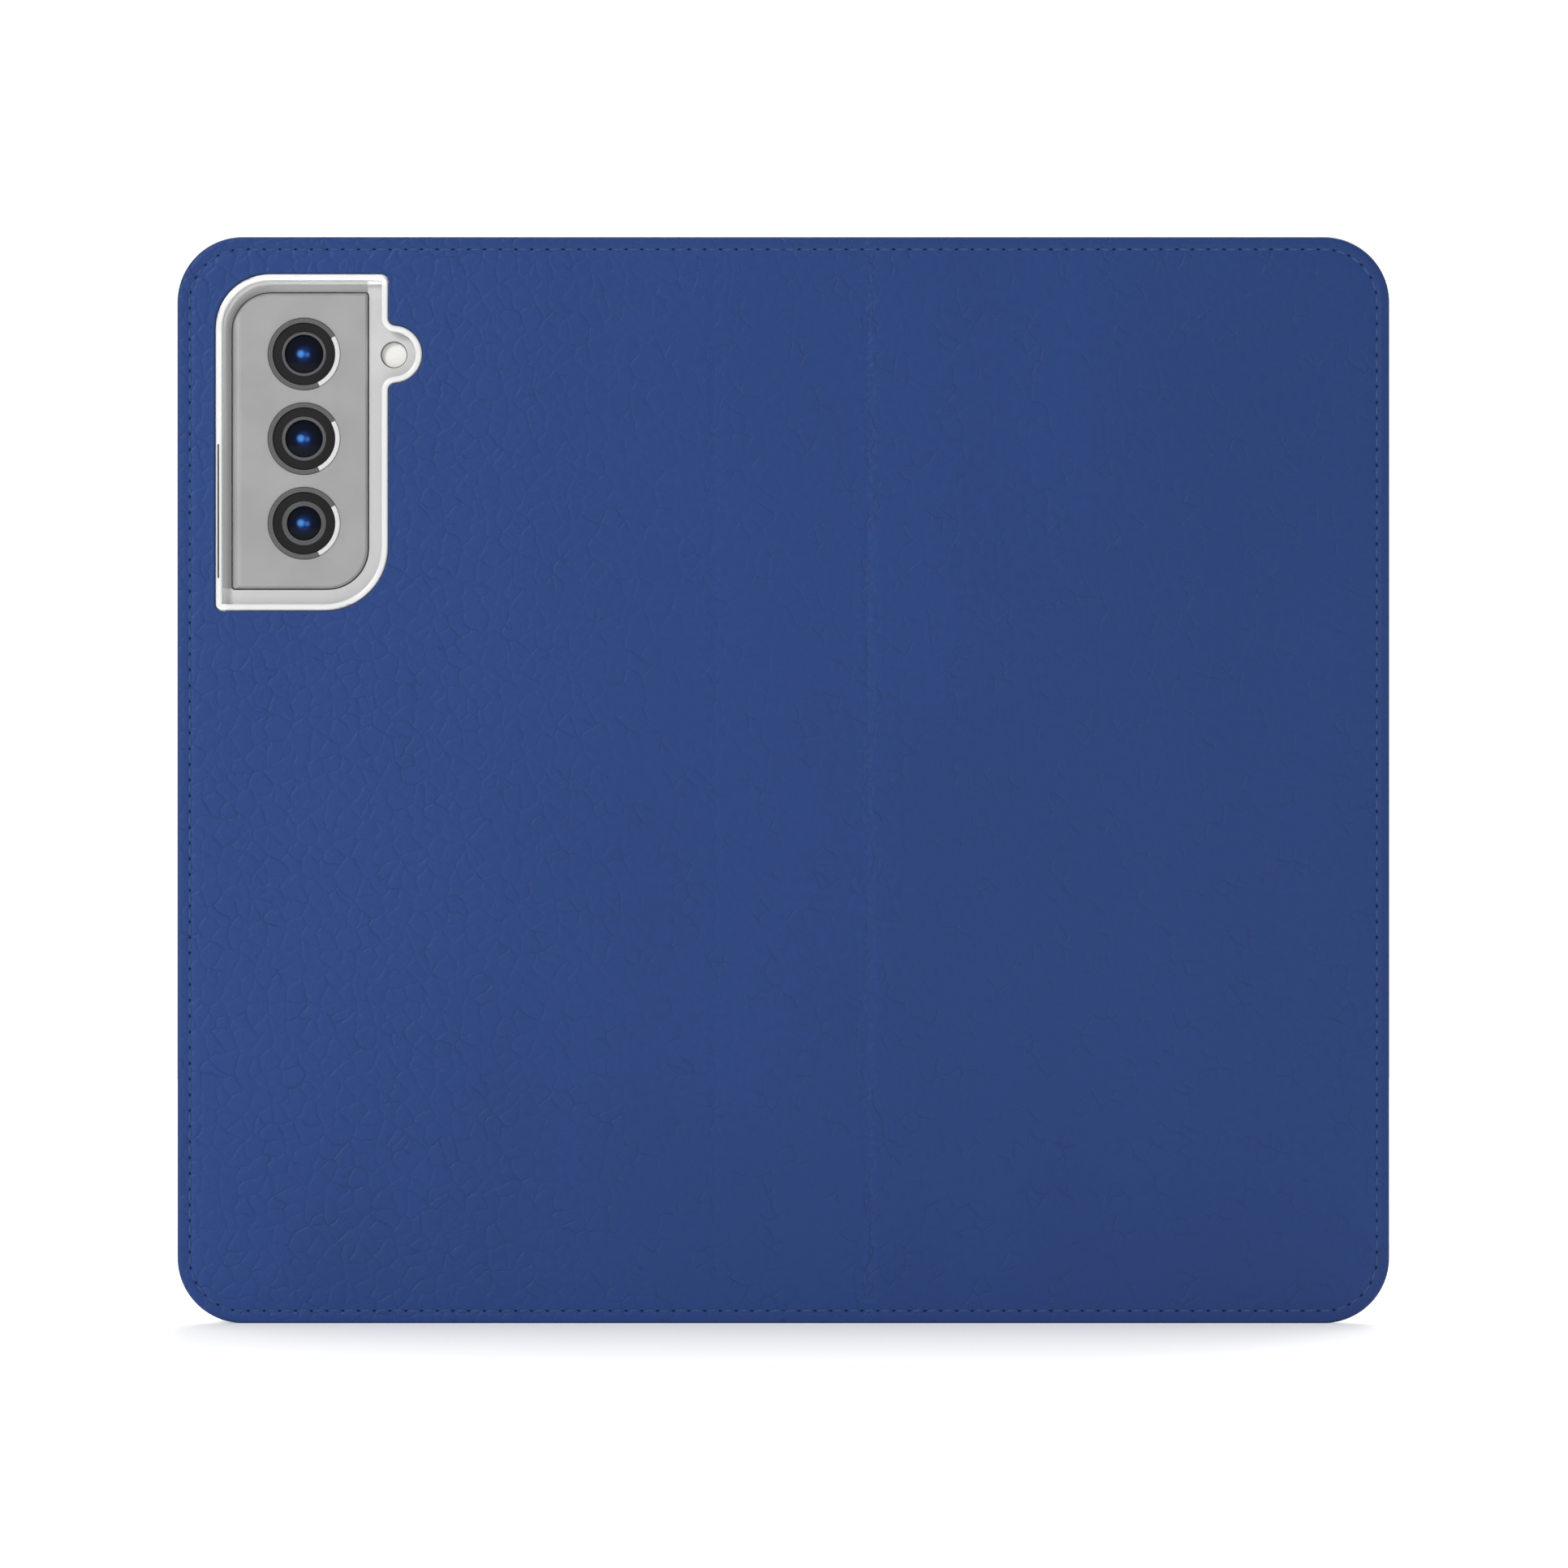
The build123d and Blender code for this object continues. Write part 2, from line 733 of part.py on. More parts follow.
with BuildPart() as lens_windows:
    with BuildSketch(layer(island_outer)):
        with Locations(*lens_centres):
            Circle(lens_window_radius - glue_gap)
            Circle(lens_bezel_radius + glue_gap, mode=Mode.SUBTRACT)
    inwards(lens_floor - island_outer)
save(lens_windows.part, "lens_windows")

with BuildPart() as lens_bezels:
    for centre, glass_radius in zip(lens_centres, lens_glass_radii):
        with BuildSketch(layer(island_outer)):
            with Locations(centre):
                Circle(lens_bezel_radius)
                Circle(glass_radius + glue_gap, mode=Mode.SUBTRACT)
        inwards(lens_floor - island_outer)
save(lens_bezels.part, "lens_bezels")

with BuildPart() as lens_glasses:
    for centre, glass_radius in zip(lens_centres, lens_glass_radii):
        dome_top = island_outer + lens_dome_drop - lens_dome_height
        with BuildSketch(Plane.XY.offset(centre[1])):
            with BuildLine():
                crown = (centre[0], dome_top)
                rim = (centre[0] + glass_radius, island_outer + lens_dome_drop)
                RadiusArc(crown, rim, -(glass_radius**2 + lens_dome_height**2) / (2 * lens_dome_height))
                Line(rim, (rim[0], lens_floor))
                Line((rim[0], lens_floor), (centre[0], lens_floor))
                Line((centre[0], lens_floor), crown)
            make_face()
        revolve(axis=Axis((centre[0], 0, centre[1]), (0, 1, 0)))
save(lens_glasses.part, "lens_glasses")

with BuildPart() as flash_lens:
    with BuildSketch(layer(phone_back - glue_gap)):
        with Locations((flash_x, flash_z)):
            Circle(flash_radius)
    inwards(back_panel_thickness + glue_gap)
save(flash_lens.part, "flash_lens")
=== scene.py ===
"""Looks of the open phone wallet case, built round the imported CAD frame. Lengths are in mm until a
mesh is made. +X runs from the back cover to the front cover, +Z up, +Y from outside to inside."""

import math

import bpy
import numpy as np
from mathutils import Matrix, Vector
from mathutils.geometry import delaunay_2d_cdt


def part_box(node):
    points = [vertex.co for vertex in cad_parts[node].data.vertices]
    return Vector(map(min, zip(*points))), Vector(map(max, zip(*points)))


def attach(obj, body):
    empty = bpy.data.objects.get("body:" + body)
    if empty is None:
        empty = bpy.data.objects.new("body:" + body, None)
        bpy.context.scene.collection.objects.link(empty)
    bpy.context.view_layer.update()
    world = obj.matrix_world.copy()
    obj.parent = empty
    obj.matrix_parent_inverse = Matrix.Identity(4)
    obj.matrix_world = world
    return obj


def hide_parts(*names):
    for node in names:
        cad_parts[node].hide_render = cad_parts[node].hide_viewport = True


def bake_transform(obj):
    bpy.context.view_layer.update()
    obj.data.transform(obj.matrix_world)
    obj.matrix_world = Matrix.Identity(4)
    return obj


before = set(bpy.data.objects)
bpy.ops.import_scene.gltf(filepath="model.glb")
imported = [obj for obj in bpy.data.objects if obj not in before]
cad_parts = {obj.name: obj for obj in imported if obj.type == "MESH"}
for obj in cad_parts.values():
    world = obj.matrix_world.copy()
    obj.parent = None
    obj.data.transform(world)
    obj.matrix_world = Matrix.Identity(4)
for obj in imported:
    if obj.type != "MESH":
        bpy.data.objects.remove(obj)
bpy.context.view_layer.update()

MM = 0.001
STITCH_SEED = 7
WAVE_SEED = 11
random = np.random.RandomState(STITCH_SEED)


def node_box(name):
    """Lowest and highest corner of a CAD node, in mm."""
    low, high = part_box(name)
    return [value / MM for value in low], [value / MM for value in high]


# ---- places taken from the CAD frame
leather_low, leather_high = node_box("back_outer_leather")
lining_low, lining_high = node_box("back_lining")
back_board_low, back_board_high = node_box("back_stiffener_board")
front_board_low = node_box("front_stiffener_board")[0]
cash_low, cash_high = node_box("cash_pocket")
tray_low, tray_high = node_box("phone_tray")
ring_low, ring_high = node_box("lens_trim_rings")
rocker_low, rocker_high = node_box("volume_rocker")
island_low, island_high = node_box("camera_island")
ring_radius = (ring_high[0] - ring_low[0]) / 2
rocker_middle = (rocker_low[2] + rocker_high[2]) / 2
rocker_half = (rocker_high[2] - rocker_low[2]) / 2

cover_edge = -leather_low[0]
cover_height = leather_high[2]
outer_face = leather_low[1]
border_face = leather_high[1]
lining_face = lining_high[1]
lining_inset = lining_low[2]
board_inset = back_board_low[2]
board_outer = back_board_low[1]
board_inner = back_board_high[1]
boards = (back_board_high[0], front_board_low[0])

# ---- sizes shared with the CAD model
CORNER_RADIUS = 10.0
STITCH_INSET = 1.9
STITCH_PITCH = 2.4
WINDOW_GAP = 0.1
SLIT_FAR_SIDE = 0.65
SLIT_DEPTH = 1.6
LEDGE_DEPTH = 2.6
ISLAND_CORNER = 5.9
FLANGE_THICKNESS = 0.4
window = {
    "left": tray_low[0] - WINDOW_GAP,
    "right": -60.3,
    "bottom": 108.8,
    "top": tray_high[2] + WINDOW_GAP,
    "radii": (8.4, 1.5, 9.8, 1.2),
    "tab": (-59.6, 148.1, 4.5),
    "blend": 1.0,
}

# ---- outlines
FAR_AWAY = 99.0
NEARBY = 5.0
QUARTER_ENDS = {0: (0, 1), 90: (-1, 0), 180: (0, -1), 270: (1, 0)}


def arc(centre, radius, start, end, step):
    """Points along an arc, in degrees, no further apart than step. The end point is left out."""
    count = max(1, math.ceil(abs(math.radians(end - start)) * radius / step))
    turns = [math.radians(start + (end - start) * index / count) for index in range(count)]
    return [(centre[0] + radius * math.cos(a), centre[1] + radius * math.sin(a)) for a in turns]


def rounded_corner(across, up, radius, start, step):
    """Quarter turn from start, in degrees, round the point given, with its end. Radius 0: that point."""
    if not radius:
        return [(across, up)]
    end_across, end_up = QUARTER_ENDS[start]
    end = (across + radius * end_across, up + radius * end_up)
    return arc((across, up), radius, start, start + 90, step) + [end]


def fill_gaps(loop, step):
    """The closed loop with its long sides divided into pieces no longer than step."""
    filled = []
    for (x0, z0), (x1, z1) in zip(loop, loop[1:] + loop[:1]):
        count = max(1, math.ceil(math.hypot(x1 - x0, z1 - z0) / step))
        for index in range(count):
            share = index / count
            filled.append((x0 + (x1 - x0) * share, z0 + (z1 - z0) * share))
    return filled


def rounded_loop(left, right, bottom, top, radii, step, right_side=()):
    """Anticlockwise loop round a rectangle, by way of more points up its right side if there are any.
    Radii: top left, top right, bottom right, bottom left."""
    top_left, top_right, bottom_right, bottom_left = radii
    loop = rounded_corner(left + bottom_left, bottom + bottom_left, bottom_left, 180, step)
    loop += rounded_corner(right - bottom_right, bottom + bottom_right, bottom_right, 270, step)
    loop += right_side
    loop += rounded_corner(right - top_right, top - top_right, top_right, 0, step)
    loop += rounded_corner(left + top_left, top - top_left, top_left, 90, step)
    return fill_gaps(loop, step)


def half_loop(side, inset, step):
    """Loop round one half of the case, cut at x = 0, with its free sides inset."""
    radius = CORNER_RADIUS - inset
    edge = cover_edge - inset
    if side < 0:
        return rounded_loop(-edge, 0, inset, cover_height - inset, (radius, 0, 0, radius), step)
    return rounded_loop(0, edge, inset, cover_height - inset, (0, radius, radius, 0), step)


def window_loop(outset, step):
    """Anticlockwise loop round the camera window with its tab for the flash, grown by outset."""
    left, right = window["left"] - outset, window["right"] + outset
    bottom, top = window["bottom"] - outset, window["top"] + outset
    radii = [radius + outset for radius in window["radii"]]
    tab_x, tab_z, tab_radius = window["tab"]
    tab_radius += outset
    blend = window["blend"] - outset
    blend_x = right + blend
    rise = math.sqrt((tab_radius + blend) ** 2 - (blend_x - tab_x) ** 2)
    turn = math.degrees(math.atan2(rise, blend_x - tab_x))
    tab = arc((blend_x, tab_z - rise), blend, 180, 180 - turn, step)
    tab += arc((tab_x, tab_z), tab_radius, -turn, turn, step)
    tab += arc((blend_x, tab_z + rise), blend, 180 + turn, 180, step)
    tab.append((right, tab_z + rise))
    return rounded_loop(left, right, bottom, top, radii, step, tab)


def depth_inside(x, z, left, right, bottom, top, radius):
    """Distance of points from a rounded rectangle's outline, positive inside."""
    across = np.abs(x - (left + right) / 2) - (right - left) / 2 + radius
    along = np.abs(z - (bottom + top) / 2) - (top - bottom) / 2 + radius
    corner = np.hypot(np.maximum(across, 0), np.maximum(along, 0))
    return radius - corner - np.minimum(np.maximum(across, along), 0)


def cover_depth(x, z):
    """Distance of points from the open case's outline, positive inside."""
    return depth_inside(x, z, -cover_edge, cover_edge, 0, cover_height, CORNER_RADIUS)


def loop_distance(x, z, loop):
    """Distance of points from a closed loop, positive outside it, or FAR_AWAY for distant points."""
    corners = np.array(loop)
    low, high = corners.min(0) - NEARBY, corners.max(0) + NEARBY
    near = (x > low[0]) & (x < high[0]) & (z > low[1]) & (z < high[1])
    distance = np.full(len(x), FAR_AWAY)
    x, z = x[near], z[near]
    nearest = np.full(len(x), np.inf)
    inside = np.zeros(len(x), dtype=bool)
    for (x0, z0), (x1, z1) in zip(loop, loop[1:] + loop[:1]):
        along_x, along_z = x1 - x0, z1 - z0
        share = ((x - x0) * along_x + (z - z0) * along_z) / (along_x**2 + along_z**2)
        share = np.clip(share, 0, 1)
        nearest = np.minimum(nearest, np.hypot(x - x0 - share * along_x, z - z0 - share * along_z))
        if z0 != z1:
            inside ^= ((z0 > z) != (z1 > z)) & (x < x0 + (z - z0) * along_x / along_z)
    distance[near] = np.where(inside, -nearest, nearest)
    return distance


def smooth(values, low, high):
    """0 below low, 1 above high, with a smooth step between."""
    share = np.clip((values - low) / (high - low), 0, 1)
    return share * share * (3 - 2 * share)


def hollow(values, centre, width):
    """1 at centre, falling off to nothing over width on each side."""
    return np.exp(-(((values - centre) / width) ** 2))


def roll(distance, radius):
    """Height lost by a rounded edge at a distance from it."""
    short = np.clip(radius - distance, 0, radius)
    return radius - np.sqrt(radius**2 - short**2)


# ---- meshes
SHARP_DEGREES = 50
MERGE_DISTANCE = 1e-5
SMALLEST_AREA = 1e-9


def add_object(name, verts, faces, material, extra=None):
    """Mesh object from points in mm, smooth but for its sharp corners, with its rest places kept."""
    mesh = bpy.data.meshes.new(name)
    mesh.from_pydata((np.asarray(verts) * MM).tolist(), [], faces)
    mesh.validate()
    mesh.update()
    mesh.shade_smooth()
    mesh.set_sharp_from_angle(angle=math.radians(SHARP_DEGREES))
    kept = mesh.attributes.new("rest", "FLOAT_VECTOR", "POINT")
    kept.data.foreach_set("vector", np.asarray(verts, dtype=np.float32).ravel())
    for label, values in (extra or {}).items():
        layer = mesh.attributes.new(label, "FLOAT", "POINT")
        layer.data.foreach_set("value", np.asarray(values, dtype=np.float32))
    mesh.materials.append(material)
    piece = bpy.data.objects.new(name, mesh)
    bpy.context.scene.collection.objects.link(piece)
    return piece


def triangulate(loops, loose, inside):
    """Points and anticlockwise triangles over closed loops and loose points, where inside is true."""
    points = []
    edges = []
    for loop in loops:
        first = len(points)
        points += loop
        edges += [(first + i, first + (i + 1) % len(loop)) for i in range(len(loop))]
    points += loose
    placed = [Vector(point) for point in points]
    verts, _, faces = delaunay_2d_cdt(placed, edges, [], 0, MERGE_DISTANCE)[:3]
    flat = np.array([(v.x, v.y) for v in verts])
    tris = np.array(faces)
    a, b, c = flat[tris[:, 0]], flat[tris[:, 1]], flat[tris[:, 2]]
    area = (b[:, 0] - a[:, 0]) * (c[:, 1] - a[:, 1]) - (b[:, 1] - a[:, 1]) * (c[:, 0] - a[:, 0])
    tris[area < 0] = tris[area < 0][:, ::-1]
    middle = (a + b + c) / 3
    tris = tris[(np.abs(area) > SMALLEST_AREA) & inside(middle[:, 0], middle[:, 1])]
    used = np.unique(tris)
    renumber = np.full(len(flat), -1)
    renumber[used] = np.arange(len(used))
    return flat[used], renumber[tris]


def closed_sheet(name, loops, loose, inside, front, back, material, tone):
    """Closed sheet over flat loops and loose points. Functions of x and z give the depth of its
    outside and of its inside, and its tone."""
    flat, tris = triangulate(loops, loose, inside)
    count = len(flat)
    x, z = flat[:, 0], flat[:, 1]
    outer = np.column_stack([x, front(x, z), z])
    inner = np.column_stack([x, back(x, z), z])
    sides = np.concatenate([tris[:, [0, 1]], tris[:, [1, 2]], tris[:, [2, 0]]])
    present = set(map(tuple, sides.tolist()))
    rim = [(a, b) for a, b in present if (b, a) not in present]
    faces = tris.tolist() + (tris[:, ::-1] + count).tolist()
    faces += [(a, a + count, b + count, b) for a, b in sorted(rim)]
    verts = np.concatenate([outer, inner])
    return add_object(name, verts, faces, material, {"tone": np.tile(tone(x, z), 2)})


def grid_points(across, up, keep):
    """Crossing points of two rows of places, where keep is true."""
    x, z = [values.ravel() for values in np.meshgrid(across, up, indexing="ij")]
    kept = keep(x, z)
    return list(zip(x[kept].tolist(), z[kept].tolist()))


# ---- shaders
class Shader:
    """Material whose nodes are made and joined in one call each. Flat ones use 2-D textures."""

    def __init__(self, name, flat=False):
        self.dimensions = "2D" if flat else "3D"
        self.material = bpy.data.materials.new(name)
        self.material.use_nodes = True
        self.tree = self.material.node_tree
        self.tree.nodes.clear()
        self.output = self.tree.nodes.new("ShaderNodeOutputMaterial")

    def node(self, kind, inputs=None, **settings):
        made = self.tree.nodes.new("ShaderNode" + kind)
        for label, value in settings.items():
            setattr(made, label, value)
        for label, value in (inputs or {}).items():
            socket = made.inputs[label]
            if isinstance(value, bpy.types.NodeSocket):
                self.tree.links.new(value, socket)
            else:
                socket.default_value = value
        return made

    def math(self, operation, a, b=0.0, c=0.0):
        return self.node("Math", {0: a, 1: b, 2: c}, operation=operation).outputs[0]

    def times(self, first, *others):
        for other in others:
            first = self.math("MULTIPLY", first, other)
        return first

    def minus(self, a, b):
        return self.math("SUBTRACT", a, b)

    def above(self, value, limit):
        return self.math("GREATER_THAN", value, limit)

    def below(self, value, limit):
        return self.math("LESS_THAN", value, limit)

    def distance(self, a, b):
        return self.math("ABSOLUTE", self.minus(a, b))

    def length(self, a, b):
        squares = self.math("ADD", self.math("POWER", a, 2.0), self.math("POWER", b, 2.0))
        return self.math("SQRT", squares)

    def weighted(self, start, *layers):
        """Start plus each layer times its weight."""
        for layer, weight in layers:
            start = self.math("MULTIPLY_ADD", layer, weight, start)
        return start

    def vector_math(self, operation, inputs):
        return self.node("VectorMath", inputs, operation=operation).outputs[0]

    def parts(self, vector):
        return self.node("SeparateXYZ", {0: vector}).outputs

    def rest(self):
        """Place on the unbent piece, in mm."""
        return self.node("Attribute", attribute_name="rest").outputs["Vector"]

    def value(self, label):
        return self.node("Attribute", attribute_name=label).outputs["Fac"]

    def flattened(self, vector):
        """Place on the open sheet: across it, then up it, for 2-D textures."""
        parts = self.parts(vector)
        up = self.math("ADD", parts["Z"], parts["Y"])
        return self.node("CombineXYZ", {"X": parts["X"], "Y": up}).outputs[0]

    def place(self):
        """Place in the row frame, in mm, for a CAD node."""
        made = self.node("TexCoord").outputs["Object"]
        return self.vector_math("SCALE", {0: made, "Scale": 1 / MM})

    def noise(self, vector, size, detail=2.0, roughness=0.5, stretch=None):
        """Noise from 0 to 1 whose lumps are about size mm across."""
        if stretch:
            vector = self.vector_math("MULTIPLY", {0: vector, 1: stretch})
        inputs = {"Vector": vector, "Scale": 1 / size, "Detail": detail, "Roughness": roughness}
        return self.node("TexNoise", inputs, noise_dimensions=self.dimensions).outputs["Fac"]

    def warped(self, vector, size, amount):
        """Vector pushed about by noise, so that patterns lose their regularity."""
        inputs = {"Vector": vector, "Scale": 1 / size, "Detail": 1.0}
        push = self.node("TexNoise", inputs, noise_dimensions=self.dimensions).outputs["Color"]
        centred = self.vector_math("SUBTRACT", {0: push, 1: (0.5, 0.5, 0.5)})
        scaled = self.vector_math("SCALE", {0: centred, "Scale": amount})
        return self.vector_math("ADD", {0: vector, 1: scaled})

    def cells(self, vector, size):
        """Distance from the nearest border of irregular cells, as a share of size."""
        inputs = {"Vector": vector, "Scale": 1 / size}
        settings = {"feature": "DISTANCE_TO_EDGE", "voronoi_dimensions": self.dimensions}
        return self.node("TexVoronoi", inputs, **settings).outputs["Distance"]

    def ramp(self, value, low, high, start=0.0, end=1.0):
        """Smooth change from start to end as value goes from low to high."""
        inputs = {"Value": value, 1: low, 2: high, 3: start, 4: end}
        return self.node("MapRange", inputs, interpolation_type="SMOOTHSTEP").outputs[0]

    def mix(self, share, first, second):
        """Colour between two colours, each a socket or three numbers."""
        colours = [(*c, 1) if isinstance(c, tuple) else c for c in (first, second)]
        inputs = {0: share, 6: colours[0], 7: colours[1]}
        return self.node("Mix", inputs, data_type="RGBA").outputs[2]

    def rounded(self, radius, samples=4):
        """Normal that rounds off the sharp edges of a CAD node."""
        return self.node("Bevel", {"Radius": radius * MM}, samples=samples).outputs[0]

    def bump(self, height, depth, normal=None):
        """Normal of a surface whose height, from 0 to 1, stands for depth in mm."""
        inputs = {"Height": height, "Distance": depth * MM}
        if normal is not None:
            inputs["Normal"] = normal
        return self.node("Bump", inputs).outputs[0]

    def finish(self, **inputs):
        """Principled surface with the inputs given, joined to the output."""
        named = {label.replace("_", " "): value for label, value in inputs.items()}
        surface = self.node("BsdfPrincipled", named)
        self.tree.links.new(surface.outputs[0], self.output.inputs["Surface"])
        return self.material


WHITE = (1, 1, 1, 1)

# Leather. Fade: from where to where across the case its relief falls, and from what to what.
LEATHER_DEPTH = 0.075
RELIEF_FADE = (-62.0, -8.0, 1.0, 0.34)
HEIGHTS = {"dome": 0.52, "line": -0.30, "fine line": -0.24, "crack": -0.35, "lump": 0.20}
HEIGHTS |= {"grain": 0.10, "wrinkle": -0.75, "scuff": -0.25}
# Colour changes: darker lines, cracks and wrinkles are painted shade in their grooves; lumps and scuffs
# are the leather's own tone and wear.
TONES_AND_PAINTED_SHADE = {"line": -0.05, "crack": -0.10, "lump": 0.05, "wrinkle": -0.18, "scuff": 0.14}
# Wrinkles of a worn crease: offset from its middle, how far each wanders, and its half width.
STRANDS = ((0.0, 5.0, 0.15), (0.6, 6.0, 0.11), (-0.8, 5.5, 0.09))


def leather(name, deep, light, cell=2.7, crack=1.0, roughness=0.46, creases=()):
    """Pebbled imitation leather: fine curved lines with painted shade, round irregular cells, and a
    tight grain.
    """
    s = Shader(name, flat=True)
    place = s.flattened(s.rest())
    across, up, _ = s.parts(place)
    bent = s.warped(s.warped(place, cell * 1.5, cell * 0.8), cell * 0.35, cell * 0.16)
    big = s.cells(bent, cell)
    small = s.cells(bent, cell * 0.56)
    relief = s.ramp(across, *RELIEF_FADE)
    patchy = s.ramp(s.noise(place, cell * 2.2, detail=0.0), 0.32, 0.56)
    patchy = s.math("MAXIMUM", patchy, s.times(relief, 0.55))
    patchy_small = s.ramp(s.noise(place, cell * 1.2, detail=0.0), 0.42, 0.60)
    line = s.times(s.ramp(big, 0.0, 0.085, 1.0, 0.0), patchy)
    fine_line = s.times(s.ramp(small, 0.0, 0.12, 1.0, 0.0), patchy_small)
    grain = s.noise(place, 0.25, detail=1.0)
    lump = s.noise(place, 1.3, detail=1.0)
    cracked = s.times(line, s.ramp(s.noise(place, 4.0, detail=0.0), 0.50, 0.62))
    pebbles = s.weighted(
        s.times(s.ramp(big, 0.0, 0.25), HEIGHTS["dome"]),
        (line, HEIGHTS["line"] * crack),
        (fine_line, HEIGHTS["fine line"] * crack),
    )
    height = s.weighted(
        s.times(pebbles, relief),
        (cracked, HEIGHTS["crack"] * crack),
        (lump, HEIGHTS["lump"]),
        (grain, HEIGHTS["grain"]),
    )
    # Painted shade in the lines, fading across the case with the relief, and in the cracks; random tone
    # on the lumps.
    tone = s.weighted(
        1.0,
        (s.times(line, relief), TONES_AND_PAINTED_SHADE["line"] * crack),
        (cracked, TONES_AND_PAINTED_SHADE["crack"] * crack),
        (s.minus(lump, 0.5), TONES_AND_PAINTED_SHADE["lump"]),
    )
    for middle, strength in creases:
        wrinkle = wrinkles(s, across, up, middle)
        beside = s.ramp(s.distance(across, middle), 0.2, 3.0, 1.0, 0.0)
        scuff = s.times(beside, s.ramp(s.noise(place, 0.8), 0.5, 0.72))
        # Painted shade in the wrinkles, and lighter scuffs of wear beside the crease.
        tone = s.weighted(
            tone, (wrinkle, TONES_AND_PAINTED_SHADE["wrinkle"] * strength), (scuff, TONES_AND_PAINTED_SHADE["scuff"] * strength)
        )
        height = s.weighted(
            height, (wrinkle, HEIGHTS["wrinkle"] * strength), (scuff, HEIGHTS["scuff"] * strength)
        )
    tone = s.times(tone, s.value("tone"))
    return s.finish(
        Base_Color=s.vector_math("SCALE", {0: s.mix(lump, deep, light), "Scale": tone}),
        Roughness=s.weighted(roughness - 0.08, (grain, 0.16), (line, 0.12)),
        Specular_IOR_Level=0.20,
        Normal=s.bump(height, LEATHER_DEPTH),
    )


def wrinkles(s, across, up, middle):
    """1 in the broken, wandering wrinkles of a worn crease up the case, falling to 0 beside them."""
    total = None
    for strand, (offset, wander, half_width) in enumerate(STRANDS):
        lane = s.node("CombineXYZ", {"X": strand * 31.0 + middle, "Y": up}).outputs[0]
        slow = s.minus(s.noise(lane, 17.0, detail=0.0), 0.5)
        quick = s.minus(s.noise(lane, 3.0, roughness=0.7), 0.5)
        path = s.weighted(middle + offset, (slow, wander), (quick, wander * 0.45))
        thinning = 0.08 * strand
        whole = s.ramp(s.noise(lane, 5.0, detail=0.0), 0.34 + thinning, 0.56 + thinning)
        wrinkle = s.times(s.ramp(s.distance(across, path), 0.0, half_width, 1.0, 0.0), whole)
        total = wrinkle if total is None else s.math("MAXIMUM", total, wrinkle)
    return total


def thread_material():
    """Waxed sewing thread, its strands wound round it."""
    s = Shader("waxed_thread")
    inputs = {"Vector": s.rest(), "Scale": 3.2, "Distortion": 1.2, "Detail": 1.0}
    inputs["Detail Scale"] = 2.0
    settings = {"wave_type": "BANDS", "bands_direction": "DIAGONAL"}
    twist = s.node("TexWave", inputs, **settings).outputs["Fac"]
    return s.finish(
        Base_Color=s.mix(twist, (0.018, 0.048, 0.168), (0.036, 0.080, 0.245)),
        Roughness=s.weighted(0.45, (twist, 0.15)),
        Specular_IOR_Level=0.35,
        Normal=s.bump(twist, 0.05),
    )


def hole_material():
    """Needle holes, dark inside with painted shade."""
    s = Shader("needle_hole")
    grain = s.noise(s.rest(), 0.15)
    return s.finish(
        Base_Color=s.mix(grain, (0.002, 0.003, 0.010), (0.005, 0.009, 0.030)),
        Roughness=0.8,
        Specular_IOR_Level=0.1,
        Normal=s.bump(grain, 0.03),
    )


def hard_material(
    name, deep, light, roughness, metallic=0.0, grain=0.3, depth=0.004, smudges=0.08, **inputs
):
    """Moulded, blasted or painted hard surface: faint mottling, fine grain and handling smudges."""
    s = Shader(name)
    place = s.place()
    fine = s.noise(place, grain, 3.0, 0.6)
    smudge = s.noise(place, 9.0, 3.0)
    plain = roughness - 0.875 * smudges
    return s.finish(
        Base_Color=s.mix(s.ramp(smudge, 0.3, 0.7), deep, light),
        Roughness=s.weighted(plain, (fine, 0.75 * smudges), (smudge, smudges)),
        Metallic=metallic,
        Normal=s.bump(fine, depth, s.rounded(0.12)),
        **inputs,
    )


def board_material():
    """Grey bookbinding board with its fibres."""
    s = Shader("binding_board")
    fibre = s.noise(s.place(), 0.5, 4.0, 0.7, stretch=(1.0, 1.0, 0.15))
    colour = s.mix(fibre, (0.30, 0.27, 0.23), (0.46, 0.43, 0.38))
    return s.finish(Base_Color=colour, Roughness=0.85, Normal=s.bump(fibre, 0.05))


def ring_place(s):
    """Place across and up from the middle of the nearest lens, in mm."""
    parts = s.parts(s.place())
    across = s.minus(parts["X"], (ring_low[0] + ring_high[0]) / 2)
    pitch = (ring_high[2] - ring_low[2]) / 2 - ring_radius
    up = s.minus(parts["Z"], (ring_low[2] + ring_high[2]) / 2)
    nearest = s.times(s.math("ROUND", s.math("DIVIDE", up, pitch)), pitch)
    return across, s.minus(up, nearest)


# Painted reflections glowing in a lens, from wide to bright: middle across and up, full and faded
# radius, and colour.
PAINTED_LENS_GLOWS = (
    (0.0, 0.0, 0.9, 2.3, (0.002, 0.004, 0.016)),
    (-0.1, 0.0, 0.2, 1.5, (0.007, 0.034, 0.160)),
    (0.48, -0.08, 0.10, 0.55, (0.030, 0.130, 0.480)),
    (-0.50, 0.04, 0.15, 0.80, (0.080, 0.270, 0.700)),
)


